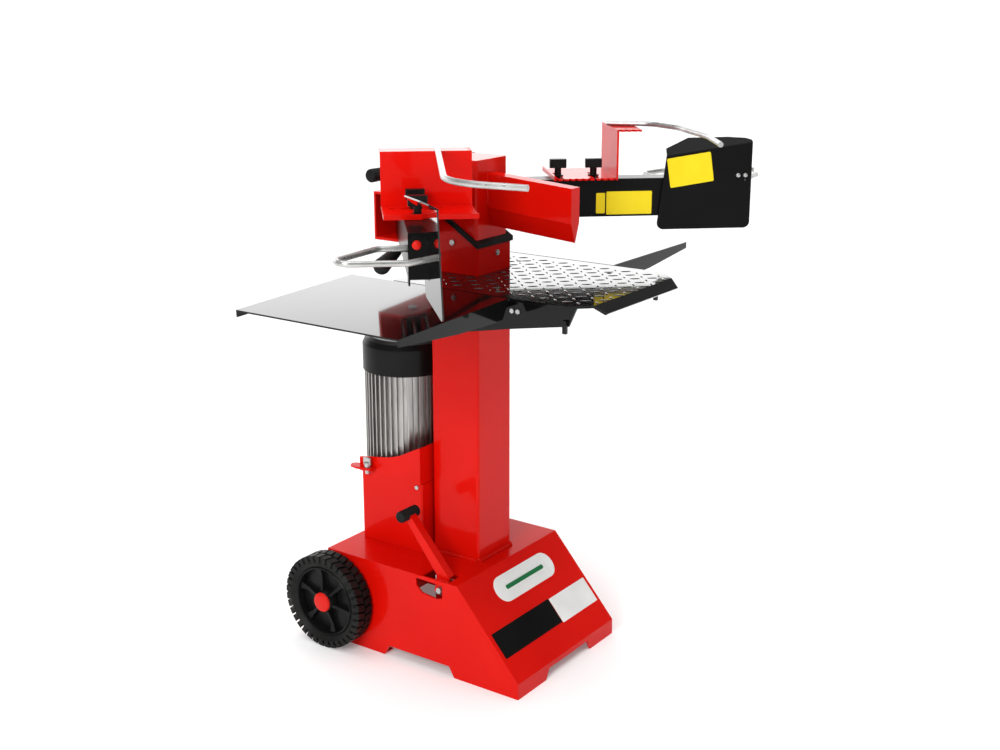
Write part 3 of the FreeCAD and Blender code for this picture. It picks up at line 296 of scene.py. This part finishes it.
MATERIALS = {
    "red_paint": paint("red_powder_coat", (0.66, 0.0035, 0.001), (0.74, 0.006, 0.0015),
                       rough=0.34, coat=0.5, shine=0.04),
    "black_gloss": paint("black_gloss_paint", (0.003, 0.003, 0.003), (0.005, 0.005, 0.005),
                         rough=0.12, coat=1.0, edge=0.0012, peel=0.01, shine=0.05),
    "black_satin": paint("black_satin_paint", (0.004, 0.004, 0.004), (0.007, 0.007, 0.007),
                         rough=0.30, coat=0.25, edge=0.0012, peel=0.05, shine=0.03),
    "zinc": metal("silver_plating", (0.40, 0.40, 0.39), (0.54, 0.54, 0.53),
                  rough=0.32, grain=90.0, strength=0.05, metallic=0.75),
    "machined_steel": metal("machined_steel", (0.45, 0.45, 0.46), (0.62, 0.62, 0.63),
                            rough=0.25, grain=320.0, stretch=(1, 1, 0.05)),
    "aluminium": metal("cast_aluminium", (0.36, 0.35, 0.34), (0.50, 0.49, 0.47),
                       rough=0.38, grain=120.0, stretch=(1, 1, 0.15), strength=0.1),
    "rubber": moulded("grip_rubber", (0.005, 0.005, 0.005), (0.012, 0.012, 0.012),
                      rough=0.5, grain=700.0, strength=0.3),
    "black_plastic": moulded("black_plastic", (0.004, 0.004, 0.004), (0.008, 0.008, 0.008),
                             rough=0.32, grain=900.0, strength=0.12),
    "tyre": moulded("tyre_rubber", (0.006, 0.006, 0.006), (0.016, 0.016, 0.015),
                    rough=0.45, grain=420.0, strength=0.3),
    "green_plastic": moulded("green_button", (0.015, 0.28, 0.05), (0.02, 0.34, 0.07),
                             rough=0.3, grain=900.0),
    "red_plastic": moulded("red_cap", (0.62, 0.012, 0.008), (0.74, 0.02, 0.012),
                           rough=0.32, grain=900.0),
    "label_yellow": moulded("yellow_film", (0.88, 0.66, 0.01), (0.95, 0.74, 0.02),
                            rough=0.3, grain=300.0, strength=0.03),
    "label_white": moulded("white_film", (0.80, 0.80, 0.78), (0.9, 0.9, 0.88),
                           rough=0.3, grain=300.0, strength=0.03),
}


def dress_nodes():
    """Every node of the frame takes the material of its slot."""
    for part in frame["record"]["subparts"]:
        mesh = NODES[part["node"]].data
        mesh.materials.clear()
        mesh.materials.append(MATERIALS[part["material_slot"]])


def gloss_guard():
    """The near guard carries the black paint with a mirror-like finish."""
    shiny = paint("black_mirror_paint", (0.003, 0.003, 0.003), (0.005, 0.005, 0.005),
                  rough=0.05, coat=1.0, edge=0.0008, peel=0.004, shine=0.4)
    mesh = NODES["left_guard"].data
    mesh.materials.clear()
    mesh.materials.append(shiny)


# ---- wheels ------------------------------------------------------------------------------
# Profiles here and below are (radius, height along the axis) pairs in metres.
TREAD_BLOCKS = 36
TREAD_DEPTH = 0.006
BLOCK_SHARE = 0.40
BLOCK_SKEW = 0.12
BLOCK_TAPER = 0.92
BEAD_RADIUS = 0.0745
LUG_INNER = 0.015
LUG_OUTER = 0.0015
LUG_SHARE = 0.8
LUG_TAPER = 0.9
SPOKES = 6
SPOKE_START = 0.25


def wheel_matrix(side):
    """Frame of a wheel with Z outwards, its outer radius and half its width."""
    low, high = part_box(side + "_tyre")
    centre = (low + high) / 2
    outward = (-1, 0, 0) if side == "left" else (1, 0, 0)
    return axes_matrix(centre, (0, 0, 1), outward), (high.z - low.z) / 2, (high.x - low.x) / 2


def tyre(side):
    """Carcass with two staggered rows of tread blocks and shoulder lugs."""
    place, radius, half = wheel_matrix(side)
    bm = bmesh.new()
    groove = radius - TREAD_DEPTH
    bead = BEAD_RADIUS
    carcass = [(bead, -half + 0.007), (bead + 0.006, -half + 0.003),
               (radius - 0.016, -half), (groove - 0.004, -half + 0.004),
               (groove, -half + 0.009), (groove, half - 0.009),
               (groove - 0.004, half - 0.004), (radius - 0.016, half),
               (bead + 0.006, half - 0.003), (bead, half - 0.007)]
    lathe_into(bm, carcass, place, FINE_STEPS)
    sidewall_rib = [(bead + 0.010, half - 0.0018), (bead + 0.0115, half),
                    (bead + 0.013, half - 0.0018)]
    lathe_into(bm, sidewall_rib, place, FINE_STEPS)
    for row in (0, 1):
        h0, h1 = ((-half + 0.001, -0.0015), (0.0015, half - 0.001))[row]
        for k in range(TREAD_BLOCKS):
            middle = 2 * math.pi * (k + 0.5 * row) / TREAD_BLOCKS
            wide = BLOCK_SHARE * 2 * math.pi / TREAD_BLOCKS
            skew = BLOCK_SKEW * 2 * math.pi / TREAD_BLOCKS * (1 if row else -1)
            tread_block(bm, place, groove - 0.001, radius, middle, wide, skew, h0, h1)
            shoulder_lug(bm, place, radius, middle, wide, half, 1 if row else -1)
    piece = finish_mesh(bm, side + "_tyre_tread", 30)
    settle(piece, side + "_wheel", "tyre", MATERIALS["tyre"], side + "_tyre")


def on_wheel(place, r, a, h):
    """The point at radius r, angle a and height h on a wheel."""
    return place @ Vector((r * math.cos(a), r * math.sin(a), h))


def tread_block(bm, place, r0, r1, middle, wide, skew, h0, h1):
    """One block from radius r0 to r1, slightly smaller at its top."""
    low = []
    high = []
    for h, shift in ((h0, -skew), (h1, skew)):
        pair = (-wide, wide) if h == h0 else (wide, -wide)
        inset = 0.0006 if h == h0 else -0.0006
        for offset in pair:
            low.append(on_wheel(place, r0, middle + shift + offset, h))
            high.append(on_wheel(place, r1, middle + shift + offset * BLOCK_TAPER, h + inset))
    block_into(bm, low, high)


def shoulder_lug(bm, place, radius, middle, wide, half, side):
    """One lug on the tyre's shoulder, beside a tread block."""
    low = []
    high = []
    reach = wide * LUG_SHARE
    for r, drop, order in ((radius - LUG_INNER, 0.0, (-reach, reach)),
                           (radius - LUG_OUTER, 0.001, (reach, -reach))):
        for offset in order:
            low.append(on_wheel(place, r, middle + offset, side * (half - 0.006)))
            high.append(on_wheel(place, r, middle + offset * LUG_TAPER, side * (half - drop)))
    block_into(bm, low, high)


def rim(side):
    """Dished plastic rim: outer ring, six flared spokes, stepped hub and a back disc."""
    place, _, half = wheel_matrix(side)
    bm = bmesh.new()
    ring = [(0.0742, -half + 0.006), (0.0742, half - 0.006), (0.0725, half - 0.0045),
            (0.0700, half - 0.006), (0.0665, half - 0.020), (0.0665, -half + 0.020),
            (0.0700, -half + 0.006), (0.0725, -half + 0.0045)]
    lathe_into(bm, ring, place, FINE_STEPS)
    hub = [(0.0081, -half), (0.0205, -half), (0.0225, -half + 0.006), (0.026, -0.004),
           (0.026, 0.004), (0.0235, half - 0.012), (0.0215, half - 0.004), (0.0195, half - 0.002),
           (0.0081, half - 0.002)]
    lathe_into(bm, hub, place)
    disc = [(0.024, -0.0045), (0.068, -0.0045), (0.068, -0.0015), (0.024, -0.0015)]
    lathe_into(bm, disc, place, FINE_STEPS)
    for k in range(SPOKES):
        spoke(bm, place, 2 * math.pi * (k + SPOKE_START) / SPOKES, half)
    piece = finish_mesh(bm, side + "_rim_spoked", 35)
    settle(piece, side + "_wheel", "black_plastic", MATERIALS["black_plastic"], side + "_wheel_rim")


def spoke(bm, place, a, half):
    """One spoke: narrow and tall at the hub, wide and lower at the ring."""
    rings = []
    # Each station is (radius, half width, height of the top).
    stations = [(0.0215, 0.0045, half - 0.008), (0.036, 0.0042, half - 0.012),
                (0.052, 0.0055, half - 0.015), (0.0685, 0.010, half - 0.012)]
    for r, w, top in stations:
        side_y = (-w, -w * 0.72, w * 0.72, w)
        height = (-0.002, top, top, -0.002)
        ring = []
        for y, h in zip(side_y, height):
            x = r * math.cos(a) - y * math.sin(a)
            z = r * math.sin(a) + y * math.cos(a)
            ring.append(bm.verts.new(place @ Vector((x, z, h))))
        rings.append(ring)
    for one, two in zip(rings, rings[1:]):
        for i in range(4):
            j = (i + 1) % 4
            bm.faces.new([one[i], one[j], two[j], two[i]])
    bm.faces.new(rings[0][::-1])
    bm.faces.new(rings[-1])


def hub_cap(side):
    """The crowned red cap in the middle of a wheel."""
    place, _, half = wheel_matrix(side)
    bm = bmesh.new()
    outline = [(0.0, half - 0.003), (0.0206, half - 0.003), (0.0206, half - 0.0005),
               (0.0198, half + 0.0010), (0.0172, half + 0.0024), (0.0100, half + 0.0035),
               (0.0, half + 0.0040)]
    lathe_into(bm, outline, place, 48, closed=False)
    piece = finish_mesh(bm, side + "_hub_cap", 40)
    settle(piece, side + "_wheel", "red_plastic", MATERIALS["red_plastic"])


# ---- chequer plate -----------------------------------------------------------------------
PATTERN_PITCH = 0.024
DASH_LENGTH = 0.0205
DASH_WIDTH = 0.0048
DASH_HEIGHT = 0.0011
DASH_ANGLES = (40, -50)
DASH_STATIONS = ((-1.0, 0.0, 0.0), (-0.72, 0.62, 0.8), (0.0, 1.0, 1.0), (0.72, 0.62, 0.8),
                 (1.0, 0.0, 0.0))


def lens_into(bm, centre, angle, up):
    """A raised lens-shaped bar; a station says how far along, how wide and how high."""
    along = Vector((math.cos(angle), math.sin(angle), 0))
    across = Vector((-math.sin(angle), math.cos(angle), 0))
    rows = []
    for t, w, h in DASH_STATIONS:
        middle = centre + along * (t * DASH_LENGTH / 2)
        if w == 0:
            rows.append([bm.verts.new(middle)])
            continue
        side = across * (w * DASH_WIDTH / 2)
        top = Vector(up) * (h * DASH_HEIGHT)
        rows.append([bm.verts.new(middle - side), bm.verts.new(middle - side * 0.4 + top),
                     bm.verts.new(middle + side * 0.4 + top), bm.verts.new(middle + side)])
    for one, two in zip(rows, rows[1:]):
        if len(one) == 1:
            for i in range(3):
                bm.faces.new([one[0], two[i], two[i + 1]])
        elif len(two) == 1:
            for i in range(3):
                bm.faces.new([one[i + 1], one[i], two[0]])
        else:
            for i in range(3):
                bm.faces.new([one[i], one[i + 1], two[i + 1], two[i]][::-1])


def chequer_plate():
    """Rows of raised bars in two directions over the log table."""
    low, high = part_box("log_table")
    column_low, column_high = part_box("column")
    sunk = 0.00005
    top = high.z - sunk
    margin = 0.014
    slot_x = column_high.x + margin
    corner = 0.040
    flap = 0.022
    first_row = 0.006
    corner_slope = 0.95
    corner_slack = 0.004
    bm = bmesh.new()
    columns = int((high.x - low.x) / PATTERN_PITCH)
    rows = int((high.y - low.y - flap) / PATTERN_PITCH)
    for i in range(columns + 1):
        for j in range(rows + 1):
            x = (i - columns / 2) * PATTERN_PITCH
            y = low.y + flap + first_row + j * PATTERN_PITCH
            if abs(x) > high.x - margin or y > high.y - margin:
                continue
            if abs(x) < slot_x and y > column_low.y - margin:
                continue
            from_corner = (low.y + flap + corner - y) * corner_slope
            if abs(x) + from_corner > high.x - margin + corner_slack:
                continue
            angle = math.radians(DASH_ANGLES[(i + j) % 2])
            lens_into(bm, Vector((x, y, top)), angle, (0, 0, 1))
    piece = finish_mesh(bm, "chequer_pattern", 50)
    settle(piece, "frame", "black_gloss", MATERIALS["black_gloss"])


# ---- grips -------------------------------------------------------------------------------
GRIP_RADIUS = 0.0118
TRANSPORT_GRIP_LENGTH = 0.078
TRANSPORT_GRIP_TAPER = 1.1


def ribbed_outline(length, radius, ribs, depth, taper=1.0):
    """Half outline of a ribbed grip with rounded ends; radius grows by taper along it."""
    points = [(0.0, 0.0), (radius * 0.82, 0.0), (radius * 0.97, length * 0.03)]
    pitch = length * 0.9 / ribs
    for k in range(ribs):
        start = length * 0.05 + k * pitch
        for part, dip in ((0.08, 0.0), (0.55, 0.0), (0.68, depth), (0.88, depth)):
            h = start + part * pitch
            r = radius * (1 + (taper - 1) * h / length) - dip
            points.append((r, h))
    end = radius * taper
    points += [(end * 0.98, length * 0.96), (end * 0.86, length * 0.99), (end * 0.6, length),
               (0.0, length)]
    return points


def grip(name, body, start, end, radius, ribs, replaced, taper=1.0, depth=0.0011):
    """A rubber grip from start to end."""
    start = Vector(start)
    end = Vector(end)
    along = end - start
    side = (0, 0, 1) if abs(along.normalized().z) < 0.9 else (1, 0, 0)
    place = axes_matrix(start, side, along)
    bm = bmesh.new()
    outline = ribbed_outline(along.length, radius, ribs, depth, taper)
    lathe_into(bm, outline, place, 40, closed=False)
    piece = finish_mesh(bm, name, 35)
    nodes = [replaced] if replaced else []
    settle(piece, body, "rubber", MATERIALS["rubber"], *nodes)


def grips():
    """The base lever's grip and the two on the transport handle."""
    low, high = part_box("base_lever_grip")
    y = (low.y + high.y) / 2
    z = (low.z + high.z) / 2
    grip("base_lever_grip_ribbed", "base_lever", (low.x, y, z), (high.x, y, z), GRIP_RADIUS, 13,
         "base_lever_grip")
    low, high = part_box("transport_grips")
    y = (low.y + high.y) / 2
    z = (low.z + high.z) / 2
    length = TRANSPORT_GRIP_LENGTH
    grip("transport_grip_left", "frame", (low.x + length, y, z), (low.x, y, z), GRIP_RADIUS, 12,
         "transport_grips", TRANSPORT_GRIP_TAPER)
    grip("transport_grip_right", "frame", (high.x - length, y, z), (high.x, y, z), GRIP_RADIUS,
         12, None, TRANSPORT_GRIP_TAPER)


# ---- welds -------------------------------------------------------------------------------
BEAD_SIDES = 8
BEAD_NECK = 0.78
BEAD_END = 0.3
BEAD_SIZE = 0.003
FOOT_BEAD_SIZE = 0.0060
FOOT_BEAD_PITCH = 0.0042
BRACKET_FRONT_Y = 0.046
PROUD = 0.0005


def bead_into(bm, start, end, radius, pitch=0.0028):
    """A weld bead: a row of overlapping flattened drops."""
    start = Vector(start)
    end = Vector(end)
    along = end - start
    count = max(2, int(along.length / pitch))
    direction = along.normalized()
    helper = Vector((0, 0, 1)) if abs(direction.z) < 0.9 else Vector((1, 0, 0))
    side = direction.cross(helper).normalized()
    up = side.cross(direction)
    rows = []
    around = BEAD_SIDES
    for k in range(count * 2 + 1):
        t = k / (count * 2)
        swell = 1.0 if k % 2 else BEAD_NECK
        wander = 0.12 * math.sin(k * 1.7) + 0.08 * math.sin(k * 0.61)
        r = radius * (swell + wander * 0.5)
        if k in (0, count * 2):
            r = radius * BEAD_END
        middle = start + along * t
        rows.append([bm.verts.new(middle + side * (r * math.cos(2 * math.pi * i / around))
                                  + up * (r * math.sin(2 * math.pi * i / around)))
                     for i in range(around)])
    for one, two in zip(rows, rows[1:]):
        for i in range(around):
            j = (i + 1) % around
            bm.faces.new([one[i], one[j], two[j], two[i]])
    bm.faces.new(rows[0][::-1])
    bm.faces.new(rows[-1])


def welds():
    """Beads round the column's foot, under the arm bracket and along the wedge."""
    low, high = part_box("column")
    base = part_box("base_housing")[1].z
    bm = bmesh.new()
    corners = [(low.x, low.y), (high.x, low.y), (high.x, high.y), (low.x, high.y)]
    for (x0, y0), (x1, y1) in zip(corners, corners[1:] + corners[:1]):
        bead_into(bm, (x0, y0, base + 0.001), (x1, y1, base + 0.001), FOOT_BEAD_SIZE,
                  FOOT_BEAD_PITCH)
    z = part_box("arm_bracket")[0].z + 0.006
    for x in (low.x - PROUD, high.x + PROUD):
        bead_into(bm, (x, BRACKET_FRONT_Y, z), (x, high.y, z), BEAD_SIZE)
    piece = finish_mesh(bm, "column_welds", 80)
    settle(piece, "frame", "red_paint", MATERIALS["red_paint"])
    wedge_low, wedge_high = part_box("splitting_wedge")
    bm = bmesh.new()
    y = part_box("ram_tube")[0].y - PROUD
    for x in (wedge_low.x - PROUD, wedge_high.x + PROUD):
        bead_into(bm, (x, y, wedge_low.z + 0.055), (x, y, wedge_high.z - 0.002), BEAD_SIZE)
    piece = finish_mesh(bm, "wedge_welds", 80)
    settle(piece, "ram", "red_paint", MATERIALS["red_paint"])


# ---- springs -----------------------------------------------------------------------------
SPRING_WIRE = 0.0011
SPRING_TURNS = 6
WIRE_SIDES = 6


def springs():
    """Two wound springs under the rocker beam."""
    low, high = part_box("return_springs")
    radius = (high.y - low.y) / 2
    wire = SPRING_WIRE
    turns = SPRING_TURNS
    bm = bmesh.new()
    y = (low.y + high.y) / 2
    for x in (low.x + radius, high.x - radius):
        steps = turns * 20
        rows = []
        for k in range(steps + 1):
            a = 2 * math.pi * turns * k / steps
            z = low.z + wire + (high.z - low.z - 2 * wire) * k / steps
            out = Vector((math.cos(a), math.sin(a), 0))
            middle = Vector((x, y, z)) + out * (radius - wire)
            row = []
            for i in range(WIRE_SIDES):
                b = 2 * math.pi * i / WIRE_SIDES
                lift = Vector((0, 0, wire * math.sin(b)))
                row.append(bm.verts.new(middle + out * (wire * math.cos(b)) + lift))
            rows.append(row)
        for one, two in zip(rows, rows[1:]):
            for i in range(WIRE_SIDES):
                j = (i + 1) % WIRE_SIDES
                bm.faces.new([one[i], one[j], two[j], two[i]])
        bm.faces.new(rows[0][::-1])
        bm.faces.new(rows[-1])
    piece = finish_mesh(bm, "wound_springs", 60)
    settle(piece, "frame", "zinc", MATERIALS["zinc"], "return_springs")


# ---- labels ------------------------------------------------------------------------------
FILM = 0.0005
FILM_SUNK = 0.0004
SLOPE_TOP_Y = 0.091
LIP_TOP_Z = 0.033
ARM_LENGTH = 0.424
ARM_INNER_FACE = -0.025
PATCH_HEIGHT = 0.8975
GUARD_INNER_FACE = 0.0302


def label(name, body, place, half_x, half_y, radius, slot, material=None, lift=0.0):
    """A blank film label with round corners on the plane of place."""
    bm = bmesh.new()
    ring = rounded_outline(half_x, half_y, radius)
    low = [place @ Vector((x, y, lift - FILM_SUNK)) for x, y in ring]
    high = [place @ Vector((x, y, lift + FILM)) for x, y in ring]
    block_into(bm, low, high)
    piece = finish_mesh(bm, name, 30)
    settle(piece, body, slot, material or MATERIALS[slot])


def front_labels():
    """Blank plates on the slanted front of the base."""
    low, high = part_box("base_housing")
    top = Vector((0, -SLOPE_TOP_Y, high.z))
    down = Vector((0, low.y + SLOPE_TOP_Y, LIP_TOP_Z - high.z)).normalized()
    normal = Vector((1, 0, 0)).cross(down).normalized()
    if normal.z < 0:
        normal = -normal

    def at(x, s):
        return axes_matrix(top + down * s + Vector((x, 0, 0)), (1, 0, 0), normal)

    label("front_plate_round", "frame", at(0.010, 0.051), 0.100, 0.0275, 0.0272, "label_white")
    green = moulded("green_stripe", (0.012, 0.16, 0.05), (0.02, 0.20, 0.07), 0.35, 300.0, 0.03)
    label("front_plate_stripe", "frame", at(0.010, 0.051), 0.066, 0.0045, 0.004, "green_plastic",
          green, FILM)
    label("front_plate_dark", "frame", at(-0.066, 0.1415), 0.100, 0.0275, 0.002, "black_satin")
    label("front_plate_white", "frame", at(0.1015, 0.1435), 0.066, 0.028, 0.002, "label_white")


def arm_axes(side):
    """Pivot on the ground plane, direction along one arm and direction outwards."""
    joint = next(j for j in frame["joints"] if j["name"] == side + "_claw_slide")
    outward = Vector(joint["axis"])
    along = Vector((outward.y, -outward.x, 0))
    if along.y > 0:
        along = -along
    swing = next(j for j in frame["joints"] if j["name"] == side + "_arm_swing")
    pivot = Vector(swing["pos_m"])
    pivot.z = 0
    return pivot, along, outward


def arm_plugs():
    """Two red plugs on the closed tip of the near arm."""
    pivot, along, outward = arm_axes("left")
    bm = bmesh.new()
    for v, z, r in ((0.0106, 0.927, 0.0078), (-0.0170, 0.929, 0.0052)):
        at = pivot + along * ARM_LENGTH + outward * v + Vector((0, 0, z))
        place = axes_matrix(at, (0, 0, 1), along)
        outline = [(r, -0.001), (r, 0.001), (r * 0.9, 0.0026), (r * 0.6, 0.004), (0.0, 0.0047)]
        lathe_into(bm, outline, place, COARSE_STEPS, closed=False)
    piece = finish_mesh(bm, "left_arm_plugs", 50)
    settle(piece, "left_arm", "red_plastic", MATERIALS["red_plastic"])


def guard_screws():
    """Domed screws that hold the hoop on the inner face of the right guard."""
    pivot, along, outward = arm_axes("right")
    bm = bmesh.new()
    outline = [(0.0048, -0.0005), (0.0048, 0.0010), (0.0042, 0.0024), (0.0024, 0.0034),
               (0.0, 0.0038)]
    for u in (0.5240, 0.5390):
        at = pivot + along * u - outward * GUARD_INNER_FACE + Vector((0, 0, 0.950))
        place = axes_matrix(at, (0, 0, 1), -outward)
        lathe_into(bm, outline, place, COARSE_STEPS, closed=False)
    piece = finish_mesh(bm, "right_guard_screws", 50)
    settle(piece, "right_arm", "zinc", MATERIALS["zinc"])


def arm_labels():
    """Blank yellow patches on the inner faces of the arms and of the right guard."""
    for side in ("left", "right"):
        pivot, along, outward = arm_axes(side)

        def at(u, v, z):
            return axes_matrix(pivot + along * u + outward * v + Vector((0, 0, z)), along, -outward)

        small = at(0.2405, ARM_INNER_FACE, PATCH_HEIGHT)
        label(side + "_arm_patch_small", side + "_arm", small, 0.0092, 0.0208, 0.002,
              "label_yellow")
        wide = at(0.2995, ARM_INNER_FACE, PATCH_HEIGHT)
        label(side + "_arm_patch_wide", side + "_arm", wide, 0.0470, 0.0235, 0.002,
              "label_yellow")
        if side == "right":
            patch = at(0.424, -0.0305, 0.963) @ Matrix.Rotation(math.radians(8.5), 4, "Z")
            label("right_guard_patch", "right_arm", patch, 0.0455, 0.030, 0.003, "label_yellow")


# ---- stage -------------------------------------------------------------------------------
def floor():
    """A pale floor that reaches to the horizon."""
    bm = bmesh.new()
    corners = []
    for x, y in ((-1, -1), (1, -1), (1, 1), (-1, 1)):
        corners.append(bm.verts.new((x * FLOOR_REACH, y * FLOOR_REACH, FLOOR_LEVEL)))
    bm.faces.new(corners)
    piece = finish_mesh(bm, "studio_floor")
    material, shader = new_material("pale_floor")
    two_tone(material, shader, noise(material, 0.8), (0.93, 0.93, 0.93), (0.96, 0.96, 0.96))
    shader.inputs["Roughness"].default_value = 0.7
    shader.inputs["Emission Color"].default_value = (1, 1, 1, 1)
    shader.inputs["Emission Strength"].default_value = FLOOR_GLOW
    piece.data.materials.append(material)


def area_light(name, at, target, size, power):
    """A rectangular lamp at a place, turned towards its target."""
    lamp = bpy.data.lights.new(name, "AREA")
    lamp.shape = "RECTANGLE"
    lamp.size = size[0]
    lamp.size_y = size[1]
    lamp.energy = power
    holder = bpy.data.objects.new(name, lamp)
    bpy.context.scene.collection.objects.link(holder)
    holder.location = at
    aim = Vector(target) - Vector(at)
    holder.rotation_euler = aim.to_track_quat("-Z", "Y").to_euler()


def world():
    """A dim surround with a bright white backdrop, low down behind the machine."""
    scene = bpy.context.scene
    scene.world = bpy.data.worlds.new("studio")
    scene.world.use_nodes = True
    nodes = scene.world.node_tree.nodes
    links = scene.world.node_tree.links
    nodes.clear()
    output = nodes.new("ShaderNodeOutputWorld")
    background = nodes.new("ShaderNodeBackground")
    coordinates = nodes.new("ShaderNodeTexCoord")
    dot = nodes.new("ShaderNodeVectorMath")
    dot.operation = "DOT_PRODUCT"
    dot.inputs[1].default_value = BACKDROP_DIRECTION
    split = nodes.new("ShaderNodeSeparateXYZ")
    links.new(coordinates.outputs["Generated"], dot.inputs[0])
    links.new(coordinates.outputs["Generated"], split.inputs["Vector"])
    sector = world_range(nodes, links, dot.outputs["Value"], BACKDROP_SECTOR, (0.0, 1.0))
    height = world_range(nodes, links, split.outputs["Z"], BACKDROP_HEIGHT, (1.0, 0.0))
    product = nodes.new("ShaderNodeMath")
    product.operation = "MULTIPLY"
    links.new(sector, product.inputs[0])
    links.new(height, product.inputs[1])
    strength = world_range(nodes, links, product.outputs["Value"], (0.0, 1.0),
                           (SURROUND, BACKDROP))
    links.new(strength, background.inputs["Strength"])
    links.new(background.outputs["Background"], output.inputs["Surface"])


def world_range(nodes, links, value, source, target):
    """Maps a value smoothly from one range onto another."""
    node = nodes.new("ShaderNodeMapRange")
    node.interpolation_type = "SMOOTHSTEP"
    node.inputs["From Min"].default_value = source[0]
    node.inputs["From Max"].default_value = source[1]
    node.inputs["To Min"].default_value = target[0]
    node.inputs["To Max"].default_value = target[1]
    links.new(value, node.inputs["Value"])
    return node.outputs["Result"]


def lights():
    """The world, a key light from the left, a weak fill from the front and a soft sun."""
    world()
    area_light("key", (-4.0, -0.9, 2.6), (0, 0, 0.5), (2.0, 2.0), KEY_POWER)
    area_light("front_fill", (0.6, -3.4, 1.8), (0, 0, 0.6), (1.2, 2.0), FILL_POWER)
    overhead = bpy.data.lights.new("overhead", "SUN")
    overhead.energy = OVERHEAD
    overhead.angle = math.radians(OVERHEAD_SPREAD)
    holder = bpy.data.objects.new("overhead", overhead)
    bpy.context.scene.collection.objects.link(holder)
    holder.rotation_euler = (0, 0, 0)


def camera():
    """The photograph's camera."""
    data = bpy.data.cameras.new("camera")
    data.lens = LENS
    data.sensor_width = SENSOR
    holder = bpy.data.objects.new("camera", data)
    bpy.context.scene.collection.objects.link(holder)
    holder.location = CAMERA_AT
    holder.rotation_euler = (math.radians(90 - CAMERA_PITCH), 0, math.radians(CAMERA_AZIMUTH))
    bpy.context.scene.camera = holder


# ---- build -------------------------------------------------------------------------------
camera()
dress_nodes()
gloss_guard()
for one_side in ("left", "right"):
    tyre(one_side)
    rim(one_side)
    hub_cap(one_side)
chequer_plate()
grips()
welds()
springs()
front_labels()
arm_labels()
arm_plugs()
guard_screws()
floor()
lights()
scene = bpy.context.scene
scene.view_settings.view_transform = "Standard"
scene.view_settings.exposure = EXPOSURE
